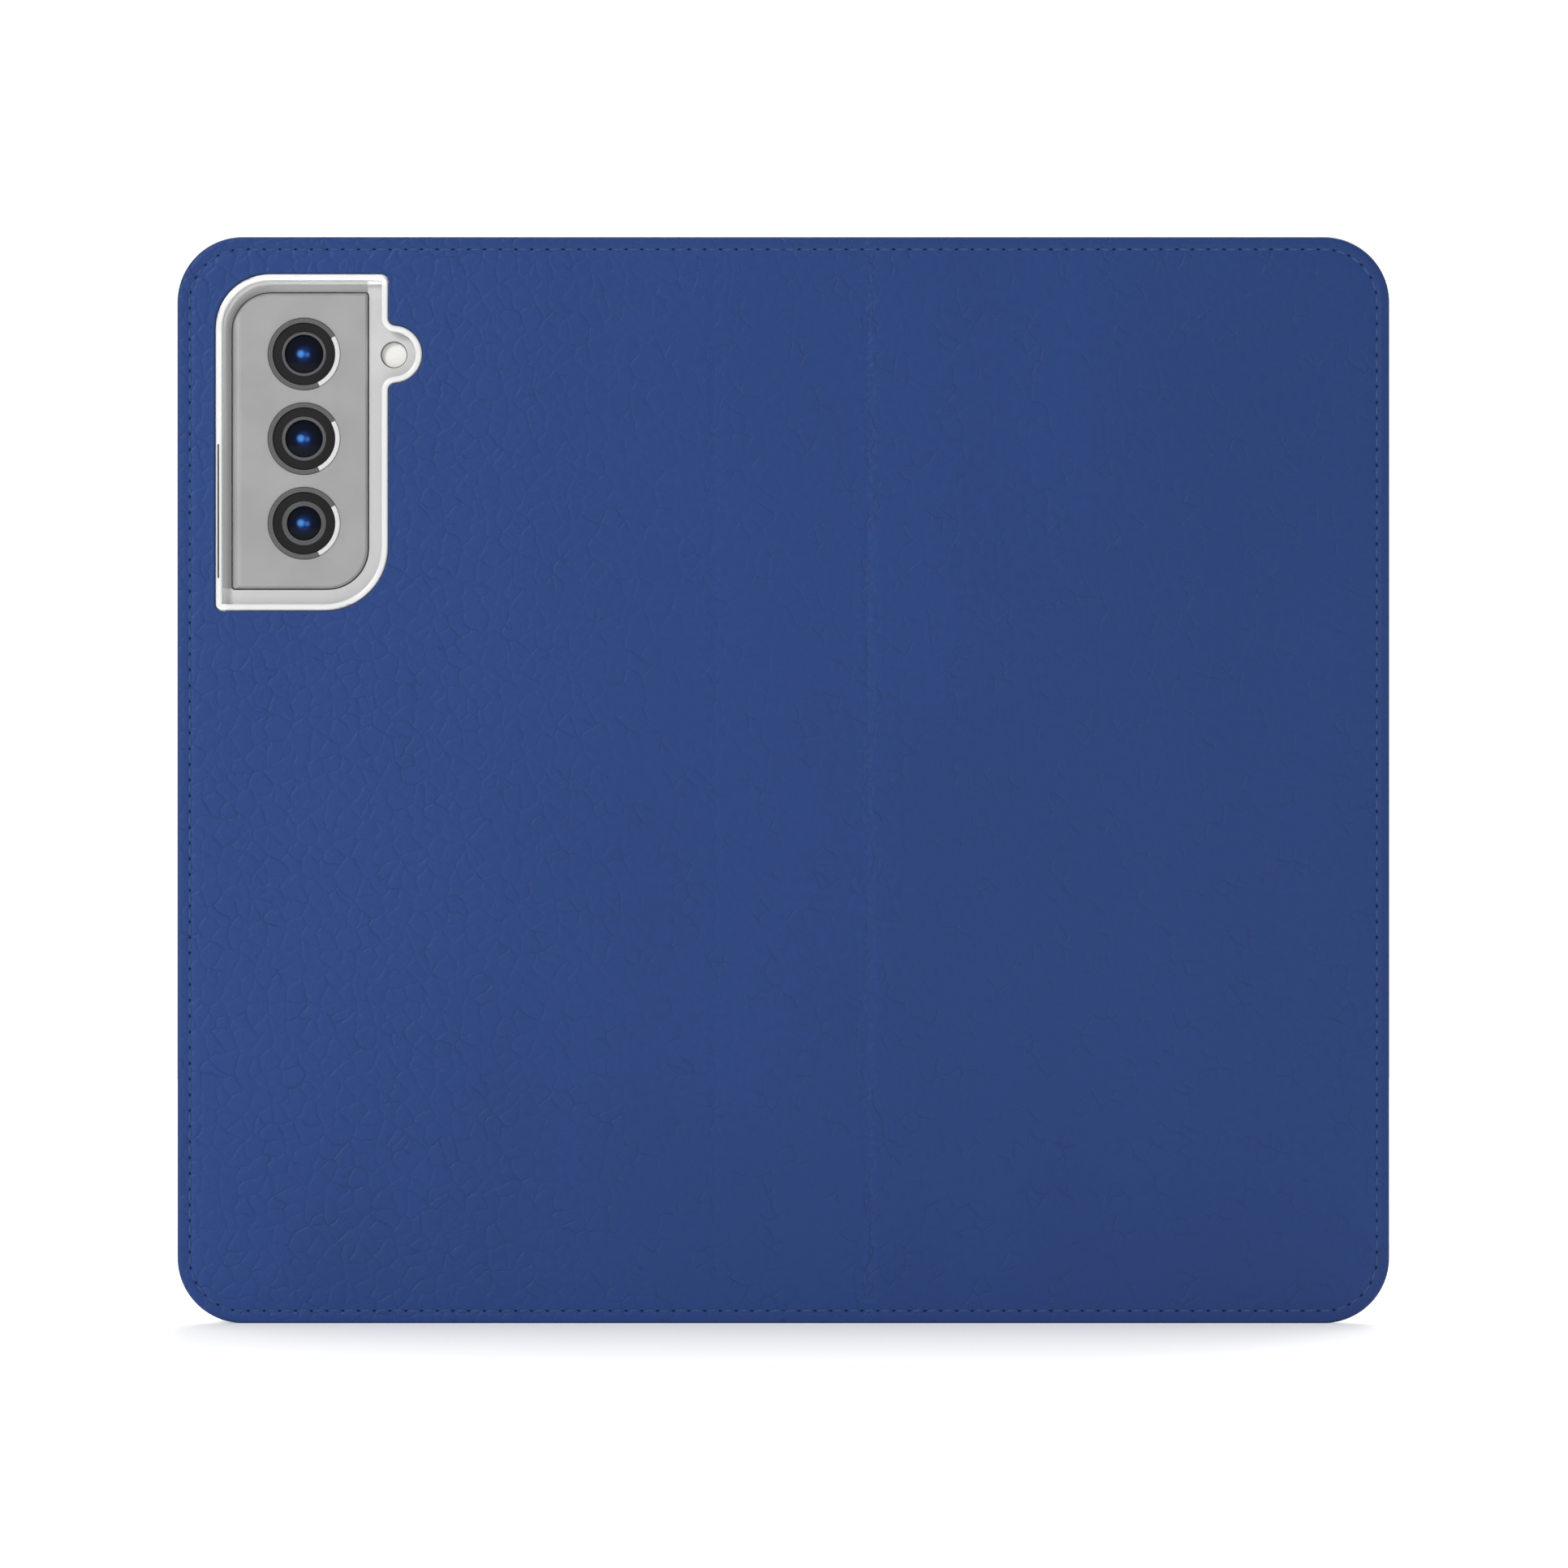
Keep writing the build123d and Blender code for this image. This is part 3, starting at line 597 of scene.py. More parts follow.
def lens_material():
    """Coated camera glass, near black, with a painted deep blue glow inside and two painted bright blue
    glints.
    """
    s = Shader("coated_lens")
    across, up = ring_place(s)
    haze = s.noise(s.place(), 0.8)
    painted_glow = (0.0005, 0.0007, 0.0015)
    for glow_x, glow_z, full, faded, colour in PAINTED_LENS_GLOWS:
        reach = s.length(s.minus(across, glow_x), s.minus(up, glow_z))
        painted_glow = s.mix(s.ramp(reach, full, faded, 1.0, 0.0), painted_glow, colour)
    return s.finish(
        Base_Color=s.mix(haze, (0.002, 0.003, 0.006), (0.004, 0.005, 0.010)),
        Roughness=s.weighted(0.12, (haze, 0.04)),
        Specular_IOR_Level=0.08,
        Emission_Color=painted_glow,
        Emission_Strength=1.0,
        Normal=s.bump(haze, 0.002),
    )


def trim_material():
    """Dark turned ring with a painted highlight, glowing faintly, in one clean arc on its right side."""
    s = Shader("turned_trim")
    fine = s.noise(s.place(), 0.15, 3.0)
    across, up = ring_place(s)
    angle = s.math("ARCTAN2", up, across)
    painted_arc = s.times(s.above(angle, math.radians(-64)), s.below(angle, math.radians(30)))
    dark = s.mix(fine, (0.085, 0.085, 0.087), (0.100, 0.100, 0.102))
    return s.finish(
        Base_Color=s.mix(painted_arc, dark, (0.56, 0.56, 0.56)),
        Emission_Color=WHITE,
        Emission_Strength=s.times(painted_arc, 0.02),
        Roughness=s.weighted(0.34, (fine, 0.08)),
        Specular_IOR_Level=0.3,
        Normal=s.bump(fine, 0.002, s.rounded(0.08)),
    )


def ledge_shadow(s, parts):
    """Painted shade on the tray's ledge left of and above the camera, with the phone's dark edge showing
    through.
    """
    corner_line = island_high[0] - island_low[2] - 2 * ISLAND_CORNER
    on_ledge = s.times(
        s.above(parts["Y"], island_low[1] - 0.3),
        s.below(parts["Y"], tray_low[1] + LEDGE_DEPTH),
        s.below(parts["X"], island_high[0]),
        s.above(parts["Z"], island_low[2]),
        s.minus(1.0, s.above(s.minus(parts["X"], parts["Z"]), corner_line)),
    )
    beside = s.math("MAXIMUM", s.minus(island_low[0] + ISLAND_CORNER, parts["X"]), 0.0)
    over = s.math("MAXIMUM", s.minus(parts["Z"], island_high[2] - ISLAND_CORNER), 0.0)
    from_island = s.minus(s.length(beside, over), ISLAND_CORNER)
    return s.times(on_ledge, s.ramp(from_island, 0.15, 1.5, 1.0, 0.45))


def slit_shadow(s, parts):
    """1 inside the slit beside the volume rocker."""
    return s.times(
        s.below(parts["X"], tray_low[0] + SLIT_FAR_SIDE),
        s.below(parts["Y"], tray_low[1] + SLIT_DEPTH + 0.2),
        s.ramp(parts["Y"], tray_low[1] + 0.25, tray_low[1] + 0.6),
        s.below(s.distance(parts["Z"], rocker_middle), rocker_half),
    )


# Clear plastic at the collar, seen edge on, and how much its walls over the lining differ.
TRANSMISSION = (0.20, 0.62)
SUBSURFACE = (0.25, -0.25)
# Painted glow that lightens the collar, fading out in the walls.
PAINTED_COLLAR_GLOW = (0.03, -0.03)


def tray_material():
    """Clear moulded plastic, milky where it is seen edge on, with painted shade on its ledge and in its
    slit.
    """
    s = Shader("clear_tray_plastic")
    place = s.place()
    parts = s.parts(place)
    flow = s.noise(place, 7.0, 3.0, stretch=(1.0, 1.0, 0.35))
    fine = s.noise(place, 0.25)
    # Painted shade on the ledge, darkest next to the island, with the phone's edge showing through.
    grey = ledge_shadow(s, parts)
    colour = s.mix(flow, (0.80, 0.80, 0.80), (0.88, 0.88, 0.88))
    colour = s.mix(grey, colour, (0.24, 0.24, 0.24))
    # Painted shade inside the slit.
    colour = s.mix(slit_shadow(s, parts), colour, (0.16, 0.16, 0.165))
    wall = s.ramp(parts["Y"], lining_face - 0.4, lining_face + 1.2)
    clear = s.minus(1.0, grey)

    def share(at_collar, more_in_wall):
        return s.times(clear, s.weighted(at_collar, (wall, more_in_wall)))

    return s.finish(
        Base_Color=colour,
        Roughness=s.weighted(0.14, (fine, 0.06)),
        IOR=1.49,
        Transmission_Weight=share(*TRANSMISSION),
        Subsurface_Weight=share(*SUBSURFACE),
        Subsurface_Radius=(1.0, 1.0, 1.0),
        Subsurface_Scale=1.0 * MM,
        Coat_Weight=0.5,
        Coat_Roughness=0.08,
        Emission_Color=WHITE,
        Emission_Strength=share(*PAINTED_COLLAR_GLOW),
        Normal=s.bump(fine, 0.003, s.rounded(0.15)),
    )


DEEP_BLUE = (0.0136, 0.0412, 0.160)
LIGHT_BLUE = (0.0145, 0.0434, 0.166)
LINING_DEEP = (0.0115, 0.0355, 0.140)
LINING_LIGHT = (0.0135, 0.0410, 0.158)
front_groove = boards[1] - 0.9
back_groove = boards[0] + 0.4
outer_leather = leather("pebbled_leather", DEEP_BLUE, LIGHT_BLUE)
creases = {"front": ((front_groove, 1.0),), "back": ((back_groove, 0.4),)}
creased_leather = {
    cover: leather(f"creased_leather_{cover}", DEEP_BLUE, LIGHT_BLUE, creases=lines)
    for cover, lines in creases.items()
}
pocket_leather = leather("pocket_leather", DEEP_BLUE, LIGHT_BLUE, cell=2.2, crack=0.8)
lining_leather = leather(
    "lining_leather", LINING_DEEP, LINING_LIGHT, cell=1.3, crack=0.5, roughness=0.52
)
thread = thread_material()
needle_hole = hole_material()

# ---- outer leather
EDGE_ROUND = 0.5
CREASE_ZONE = 18.0
FOLD_WIDTH = 0.9
FOLD_STEP = 0.12
SEAM_DIP = 0.14
SEAM_DIP_WIDTH = 0.42
SEAM_SHADE_WIDTH = 0.35
WINDOW_ROUND = 0.16
BOARD_STEP = 0.05
FRONT_DIP = 0.05
BACK_DIP = 0.02
DIP_WIDTH = 0.9
WAVINESS = 0.03
WAVES = 7
RING_STEP = 0.7
WINDOW_STEP = 0.4
CREASE_STEP = 0.35
CREASE_GRID = 16.0
# Insets of the rings of points that shape an edge and its seam, close where it turns most.
edge_rings = (0.03, 0.09, 0.18, 0.3, 0.44, 0.6, 0.8, 1.0, 1.2, 1.4)
seam_rings = (1.55, 1.7, 1.9, 2.1, 2.25, 2.4, 2.65, 2.9, 3.2, 3.5)
window_rings = (0.03, 0.08, 0.16, 0.26, 0.38, 0.55, 0.8)
blank_window = window_loop(0, WINDOW_STEP)


def undulation(x, z, scale):
    """Slow random waviness of a glued sheet, within plus and minus 1."""
    total = np.zeros(len(x))
    waves = np.random.RandomState(WAVE_SEED)
    for _ in range(WAVES):
        length = scale * (0.7 + 1.6 * waves.rand())
        heading = waves.rand() * math.tau
        phase = waves.rand() * math.tau
        along = x * math.cos(heading) + z * math.sin(heading)
        total += np.sin(along * math.tau / length + phase)
    return total / WAVES


def outer_depths(x, z):
    """Depth of the leather's outside: its edge and seam, the window's edge, the boards and creases."""
    edge = cover_depth(x, z)
    near_window = loop_distance(x, z, blank_window)
    depth = outer_face + roll(edge, EDGE_ROUND)
    depth += SEAM_DIP * hollow(edge, STITCH_INSET, SEAM_DIP_WIDTH)
    off_board = 1 - smooth(edge, board_inset - 0.9, board_inset + 0.3)
    depth += BOARD_STEP * off_board * smooth(edge, 1.9, 2.4)
    depth += roll(near_window, WINDOW_ROUND) * 0.9 + 0.04 * hollow(near_window, 0.9, 0.4)
    past_back = smooth(x, back_groove - 0.9, back_groove + 0.4)
    past_front = smooth(x, front_groove - 0.4, front_groove + 0.9)
    inland = smooth(edge, 2.0, 5.0)
    depth += BOARD_STEP * past_back * (1 - past_front) * inland
    depth += FRONT_DIP * hollow(x, front_groove, DIP_WIDTH) * inland
    depth += BACK_DIP * hollow(x, back_groove, DIP_WIDTH) * inland
    depth += WAVINESS * (undulation(x, z, 34.0) + 1) * inland
    return np.maximum(depth, outer_face)


def leather_tone_and_painted_light(x, z):
    """Leather colour: painted shade in its seam, a darker edge, random tone, and painted light across
    the case.
    """
    edge = cover_depth(x, z)
    seam = hollow(edge, STITCH_INSET, SEAM_SHADE_WIDTH)
    # Painted shade in the seam's groove, and darker towards the edge.
    tone = 1 - 0.04 * seam - 0.05 * (1 - smooth(edge, 0.9, STITCH_INSET))
    tone -= 0.30 * (1 - smooth(edge, 0.0, 0.3))
    # Painted highlight on the ridge inside the seam, and random tone.
    tone += 0.05 * hollow(edge, 2.35, 0.2) + 0.04 * undulation(x + 50, z, 30.0)
    # Painted light: lighter towards the back cover's free edge, darker towards the front's, as if lit
    # from the left.
    return tone * (0.955 - 0.09 * x / cover_edge)


def inner_turn_depths(x, z):
    """Depth of the leather's back: turned up round the edge, and hidden under the lining."""
    edge = cover_depth(x, z)
    turned = border_face - roll(edge, EDGE_ROUND)
    return turned + (board_outer - turned) * smooth(edge, FOLD_WIDTH, FOLD_WIDTH + FOLD_STEP)


def panel_points(side, spacing, first_inset, rings, with_window):
    """Loops and loose points that cover one half of the case."""
    loops = [half_loop(side, first_inset, RING_STEP)]
    loose = []
    for ring in rings:
        inset = first_inset + ring
        loose += [point for point in half_loop(side, inset, RING_STEP) if abs(point[0]) > 0.01]
    last = first_inset + rings[-1]
    cut_places = np.arange(last + RING_STEP / 2, cover_height - last, RING_STEP)
    loose += [(0.0, z) for z in cut_places]
    fine = np.arange(CREASE_STEP, CREASE_GRID, CREASE_STEP)
    coarse = np.arange(CREASE_GRID, cover_edge, spacing)
    across = side * np.concatenate([fine, coarse])
    up = np.arange(last, cover_height - last, spacing)
    clearance = spacing * 0.4
    if with_window:
        loops.append(window_loop(0, WINDOW_STEP))
        for outset in window_rings:
            loose += window_loop(outset, WINDOW_STEP)

    def keep(x, z):
        kept = cover_depth(x, z) > last + clearance
        if with_window:
            kept &= loop_distance(x, z, blank_window) > window_rings[-1] + clearance
        return kept

    return loops, loose + grid_points(across, up, keep)


def half_sheet(name, side, first_inset, rings, spacing, front, back, material, tone):
    """One half of a sheet that runs across the whole open case."""
    with_window = side < 0
    loops, loose = panel_points(side, spacing, first_inset, rings, with_window)

    def inside(x, z):
        kept = (cover_depth(x, z) > first_inset) & (x * side > 0)
        if with_window:
            kept &= loop_distance(x, z, blank_window) > 0
        return kept

    piece = closed_sheet(name, loops, loose, inside, front, back, material, tone)
    bend(piece, side)
    return piece


def bend(piece, side):
    """Bakes the piece's placement into its mesh, alike on either side."""
    if side < 0:
        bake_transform(piece)
    else:
        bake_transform(piece)


halves = {"back": -1, "front": 1}
leather_rings = sorted(edge_rings + seam_rings + (FOLD_WIDTH, FOLD_WIDTH + FOLD_STEP))
for cover, side in halves.items():
    name = f"{cover}_leather_skin"
    depths = (outer_depths, inner_turn_depths)
    sheet = half_sheet(name, side, 0.0, leather_rings, 0.8, *depths, outer_leather, leather_tone_and_painted_light)
    sheet.data.materials.append(creased_leather[cover])
    for polygon in sheet.data.polygons:
        polygon.material_index = int(abs(polygon.center.x) < CREASE_ZONE * MM)
    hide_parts(f"{cover}_outer_leather", "spine_outer_leather")

# ---- lining
LINING_ROUND = 0.14
LINING_DIP = 0.14
LINING_WAVINESS = 0.05
BOARD_CORNER = 1.0
SKIN_GAP = 0.02
lining_rings = (0.03, 0.08, 0.15, 0.35, 0.6, 0.85, 1.05, 1.25, 1.5, 1.75, 1.95)
lining_rings += (2.15, 2.35, 2.6, 2.9, 3.3)


def board_rise(x, z):
    """0 off the boards and 1 on them, for a lining drawn down over their edges."""
    free_edge = cover_edge - board_inset
    top = cover_height - board_inset
    free_side = np.abs(x) > cover_edge / 2
    corner = np.where(free_side, CORNER_RADIUS - board_inset, BOARD_CORNER)
    back = depth_inside(x, z, -free_edge, boards[0], board_inset, top, corner)
    front = depth_inside(x, z, boards[1], free_edge, board_inset, top, corner)
    return smooth(np.maximum(back, front), -0.6, 0.35)


def lining_depths(x, z):
    """Depth of the lining's visible side."""
    edge = cover_depth(x, z)
    depth = border_face - roll(edge - lining_inset, LINING_ROUND)
    depth -= LINING_DIP * hollow(edge, STITCH_INSET, SEAM_SHADE_WIDTH)
    depth += (lining_face - border_face) * board_rise(x, z)
    return depth + LINING_WAVINESS * (undulation(x, z, 28.0) - 1) * smooth(edge, 3.0, 7.0)


def lining_under(x, z):
    """Depth of the lining's hidden side."""
    return board_outer + SKIN_GAP + (board_inner - board_outer) * board_rise(x, z)


def lining_tone_and_painted_shade(x, z):
    """Darker in the seam, with painted shade, and at the cut edge."""
    edge = cover_depth(x, z)
    cut = 1 - smooth(edge, lining_inset, lining_inset + 0.2)
    return 1 - 0.12 * hollow(edge, STITCH_INSET, SEAM_SHADE_WIDTH) - 0.2 * cut


for cover, side in halves.items():
    name = f"{cover}_lining_sheet"
    depths = (lining_under, lining_depths)
    sheet = half_sheet(
        name, side, lining_inset, lining_rings, 1.2, *depths, lining_leather, lining_tone_and_painted_shade
    )
    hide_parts(f"{cover}_lining", "spine_lining")

# ---- stitching
STITCH_HALF = 0.93
STITCH_JITTER = 0.03
STITCH_CROWN = 0.17
STITCH_SINK = 0.13
THREAD_RADIUS = 0.20
THREAD_FLATNESS = 0.62
THREAD_SIDES = 8
THREAD_STATIONS = 9
HOLE_LENGTH = 0.25
HOLE_WIDTH = 0.14
HOLE_RIM = 0.045
HOLE_MIDDLE = 0.012
HOLE_BASE = -0.12
HOLE_SIDES = 10


def seam_path(side):
    """Place and heading along one half's edge seam, from the top of x = 0 round to its bottom."""
    radius = CORNER_RADIUS - STITCH_INSET
    straight = cover_edge - CORNER_RADIUS
    bow = radius * math.pi / 2
    total = 2 * (straight + bow + cover_height / 2 - CORNER_RADIUS)

    def at(distance):
        if distance > total / 2:
            x, z, heading = at(total - distance)
            return x, cover_height - z, -math.pi - heading
        if distance < straight:
            return side * distance, cover_height - STITCH_INSET, 0.0
        turn = min((distance - straight) / radius, math.pi / 2)
        x = side * (straight + radius * math.sin(turn))
        past_bow = max(distance - straight - bow, 0.0)
        return x, cover_height - CORNER_RADIUS + radius * math.cos(turn) - past_bow, -turn

    return at, total


def directions(heading, outwards):
    """Unit vectors ahead along a seam, beside it, and up out of the surface it lies on."""
    ahead = np.array([math.cos(heading), 0, math.sin(heading)])
    beside = np.array([-math.sin(heading), 0, math.cos(heading)])
    return ahead, beside, np.array([0, -1, 0]) * outwards


def thread_mesh(name, stitches):
    """Stitches as lens-shaped bows of thread whose ends go down into the needle holes."""
    verts = []
    faces = []
    turns = [corner * math.tau / THREAD_SIDES for corner in range(THREAD_SIDES)]
    for x, z, heading, depth, outwards in stitches:
        first = len(verts)
        heading += random.uniform(-STITCH_JITTER, STITCH_JITTER)
        ahead, beside, lift = directions(heading, outwards)
        for station in range(THREAD_STATIONS):
            share = 2 * station / (THREAD_STATIONS - 1) - 1
            belly = 1 - share * share
            centre = np.array([x, depth, z]) + ahead * STITCH_HALF * share
            centre = centre + lift * (STITCH_CROWN * belly - STITCH_SINK)
            width = THREAD_RADIUS * (0.35 + 0.75 * belly)
            rise = width * THREAD_FLATNESS
            verts += [centre + beside * width * math.cos(t) + lift * rise * math.sin(t) for t in turns]
        for station in range(THREAD_STATIONS - 1):
            for corner in range(THREAD_SIDES):
                a = first + station * THREAD_SIDES + corner
                b = first + station * THREAD_SIDES + (corner + 1) % THREAD_SIDES
                faces.append((a, b, b + THREAD_SIDES, a + THREAD_SIDES)[::outwards])
        last = first + (THREAD_STATIONS - 1) * THREAD_SIDES
        faces.append(tuple(first + corner for corner in range(THREAD_SIDES))[::-outwards])
        faces.append(tuple(last + corner for corner in range(THREAD_SIDES))[::outwards])
    return add_object(name, verts, faces, thread)


def hole_mesh(name, holes):
    """Needle holes as small ovals darkened with painted shade, with a sunken middle, closed behind."""
    verts = []
    faces = []
    for x, z, heading, depth, outwards in holes:
        first = len(verts)
        ahead, beside, lift = directions(heading, outwards)
        middle = np.array([x, depth, z])
        for height in (HOLE_RIM, HOLE_BASE):
            for corner in range(HOLE_SIDES):
                turn = corner * math.tau / HOLE_SIDES
                rim = ahead * HOLE_LENGTH * math.cos(turn) + beside * HOLE_WIDTH * math.sin(turn)
                verts.append(middle + rim + lift * height)
        verts += [middle + lift * HOLE_MIDDLE, middle + lift * HOLE_BASE]
        for corner in range(HOLE_SIDES):
            a, b = first + corner, first + (corner + 1) % HOLE_SIDES
            c, d = a + HOLE_SIDES, b + HOLE_SIDES
            middle_point = first + 2 * HOLE_SIDES
            faces.append((a, b, middle_point)[::outwards])
            faces.append((c, d, b, a)[::outwards])
            faces.append((d, c, middle_point + 1)[::outwards])
    return add_object(name, verts, faces, needle_hole)


def depth_at(surface, x, z):
    """Depth of a surface at one point."""
    return float(surface(np.array([x]), np.array([z]))[0])


def seam_rows(side, surface, outwards, keep=lambda across: True):
    """Stitches and the holes between them along one half's edge seam, on a surface depth(x, z)."""
    at, total = seam_path(side)
    count = round(total / STITCH_PITCH)
    pitch = total / count
    on_seam = total - 1e-6

    def row(places):
        found = []
        for place in places:
            x, z, heading = at(min(place, on_seam))
            heading = heading if side > 0 else math.pi - heading
            if keep(abs(x)):
                found.append((x, z, heading, depth_at(surface, x, z), outwards))
        return found

    stitches = row([(index + 0.5) * pitch for index in range(count)])
    kept_ends = (0, count + 1) if side < 0 else (1, count)
    return stitches, row([index * pitch for index in range(*kept_ends)])


flange_face = border_face + FLANGE_THICKNESS
flange_start = cash_low[0] - 0.9


def inner_seam(side):
    """Inner stitches lie on the lining, or on the cash pocket's flange."""
    on_lining = seam_rows(side, lining_depths, -1, lambda across: side < 0 or across < flange_start)
    if side < 0:
        return on_lining
    on_flange = seam_rows(
        side, lambda x, z: x * 0 + flange_face - 0.08, -1, lambda across: across > flange_start
    )
    return on_lining[0] + on_flange[0], on_lining[1] + on_flange[1]


for cover, side in halves.items():
    outer_stitches, outer_holes = seam_rows(side, outer_depths, 1)
    inner_stitches, inner_holes = inner_seam(side)
    sewn = thread_mesh(f"{cover}_edge_thread", outer_stitches + inner_stitches)
    pierced = hole_mesh(f"{cover}_needle_holes", outer_holes + inner_holes)
    for piece in (sewn, pierced):
        bend(piece, side)
        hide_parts(f"{cover}_edge_stitching", "spine_edge_stitching")

# ---- pockets
POCKET_LEATHER = 0.4
POCKET_STEP = 1.2
PINCHED_STEP = 0.5
POCKET_SEAM = 2.5
POCKET_ROUND = 0.16
POCKET_DIP = 0.10
POCKET_CORNERS = (0.3, 0.8, 0.8, 0.3)
CASH_GRID = 1.5
CARD_GRID = 1.2
CARD_RING_STEP = 0.8
cash_rings = (0.03, 0.08, 0.16, 0.35, 0.6, 0.85, 1.0, 1.2, 1.4, 1.7, 2.0, 2.4, 2.8, 3.3, 3.9)
card_rings = (0.03, 0.08, 0.16, 0.4, 0.8, 1.25, 1.7, 2.2, 2.8, 3.5, 4.4, 5.5)


def over_board(x, z):
    """Distance inside the part of the front cover where the cash pocket lies over the board."""
    top = cover_height - board_inset
    return depth_inside(x, z, boards[1] - 9.0, cover_edge - board_inset, board_inset, top, 6.0)


def cash_top(x, z):
    """Depth of the cash pocket's visible side."""
    edge = cover_depth(x, z)
    depth = flange_face - roll(edge - cash_low[2], POCKET_ROUND)
    depth -= POCKET_DIP * hollow(edge, STITCH_INSET, SEAM_SHADE_WIDTH)
    depth += (cash_high[1] - flange_face) * smooth(over_board(x, z), -1.0, 2.2)
    depth += 0.07 * (undulation(x, z, 30.0) - 1) * smooth(edge, 4.0, 9.0)
    return depth - roll(x - cash_low[0], POCKET_ROUND)


def cash_under(x, z):
    """Depth of the cash pocket's hidden side."""
    rise = lining_face + 0.3 - border_face
    return border_face + SKIN_GAP + rise * smooth(over_board(x, z), -0.6, 2.6)


def cash_pocket():
    """Cash pocket: one sheet sewn in with the cover's edge seam on three sides, open at the spine."""
    inset = cash_low[2]
    left = cash_low[0]

    def loop(extra):
        grown = inset + extra
        corner = CORNER_RADIUS - grown
        edges = (left + extra, cover_edge - grown, grown, cover_height - grown)
        return rounded_loop(*edges, (0, corner, corner, 0), RING_STEP)

    def keep(x, z):
        return cover_depth(x, z) > inset + last + 0.4 * CASH_GRID

    def inside(x, z):
        return (cover_depth(x, z) > inset) & (x > left)

    def tone(x, z):
        # Painted shade in the seam's groove, and darker at the open edge.
        seam = hollow(cover_depth(x, z), STITCH_INSET, SEAM_SHADE_WIDTH)
        return 1 - 0.12 * seam - 0.12 * (1 - smooth(x - left, 0, 0.3))

    loose = [point for ring in cash_rings for point in loop(ring)]
    last = cash_rings[-1]
    across = np.arange(left + last + 1.0, cover_edge, CASH_GRID)
    loose += grid_points(across, np.arange(last, cover_height, CASH_GRID), keep)
    surfaces = (cash_under, cash_top, pocket_leather, tone)
    return closed_sheet("cash_pocket_sheet", [loop(0)], loose, inside, *surfaces)


def card_pocket(index, name):
    """One card pocket: pinched flat along its three seams and bowed between them, open at the spine."""
    low, high = node_box(name)
    left, right, bottom, top = low[0], high[0], low[2], high[2]
    full = low[1] + POCKET_STEP
    pinched = low[1] - index * POCKET_STEP + (index + 1) * PINCHED_STEP

    def loop(extra):
        mouth, corner = POCKET_CORNERS[:2]
        mouth = 0 if extra else mouth
        corner = max(corner - extra, 0.0)
        edges = (left + extra, right - extra, bottom + extra, top - extra)
        return rounded_loop(*edges, (mouth, corner, corner, mouth), CARD_RING_STEP)

    def sewn_distance(x, z):
        """Distance from the nearest sewn side."""
        return np.minimum(np.minimum(x * 0 + right - x, z - bottom), top - z)

    def top_depths(x, z):
        sewn = sewn_distance(x, z)
        rise = smooth(sewn, POCKET_SEAM * 0.6, POCKET_SEAM + 5.5)
        belly = 0.10 * (undulation(x + 40 * index, z, 26.0) - 1) * rise
        depth = pinched + (full - pinched) * rise + belly
        outline = depth_inside(x, z, left, right, bottom, top, POCKET_CORNERS[0])
        return depth - roll(outline, POCKET_ROUND) - POCKET_DIP * hollow(sewn, POCKET_SEAM / 2, 0.35)

    def under_depths(x, z):
        rise = smooth(sewn_distance(x, z), POCKET_SEAM * 0.7, POCKET_SEAM + 6.0)
        low_side = pinched - PINCHED_STEP + 0.03
        return low_side + (full - POCKET_LEATHER - 0.05 - low_side) * rise

    def inside(x, z):
        return (x > left) & (x < right) & (z > bottom) & (z < top)

    def tone(x, z):
        # Painted shade in the seam's groove, and darker at the open edge.
        seam = hollow(sewn_distance(x, z), POCKET_SEAM / 2, 0.4)
        return 1 - 0.12 * seam - 0.15 * (1 - smooth(x - left, 0, 0.3))

    loose = [point for ring in card_rings for point in loop(ring)]
    last = card_rings[-1] + CARD_RING_STEP
    across = np.arange(left + last, right - last, CARD_GRID)
    loose += grid_points(across, np.arange(bottom + last, top - last, CARD_GRID), inside)
    surfaces = (under_depths, top_depths, pocket_leather, tone)
    return closed_sheet(f"{name}_sheet", [loop(0)], loose, inside, *surfaces), top_depths


def ride_front(piece, node):
    """The piece stands for a CAD node of the front cover and moves with it."""
    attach(piece, "front_cover")
    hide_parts(node)


ride_front(cash_pocket(), "cash_pocket")
pocket_names = ("card_pocket_inner", "card_pocket_middle", "card_pocket_outer")
for index, name in enumerate(pocket_names):
    sheet, top_surface = card_pocket(index, name)
    ride_front(sheet, name)


def pocket_seams():
    """Stitches and holes of the card pockets: below, above and beside the stack."""
    low, high = node_box(pocket_names[-1])
    middle = POCKET_SEAM / 2
    left, right = low[0] + 1.0, high[0] - middle
    bottom, top = low[2] + middle, high[2] - middle
    stitches = []
    holes = []
    for x0, z0, x1, z1 in (
        (left, bottom, right, bottom),
        (left, top, right, top),
        (right, bottom, right, top),
    ):
        count = round(math.hypot(x1 - x0, z1 - z0) / STITCH_PITCH)
        heading = math.atan2(z1 - z0, x1 - x0)
        for index in range(2 * count + 1):
            share = index / (2 * count)
            x, z = x0 + (x1 - x0) * share, z0 + (z1 - z0) * share
            row = stitches if index % 2 else holes
            row.append((x, z, heading, depth_at(top_surface, x, z), -1))
    return stitches, holes


pocket_stitches, pocket_holes = pocket_seams()
pocket_thread = thread_mesh("card_pocket_thread", pocket_stitches)
ride_front(pocket_thread, "card_pocket_stitching")
pierced_pocket = hole_mesh("card_pocket_needle_holes", pocket_holes)
ride_front(pierced_pocket, "card_pocket_stitching")


# ---- materials of the CAD nodes
def grey(value, blue=0.0):
    """Neutral colour, or one with a little more blue."""
    return value, value, value + blue


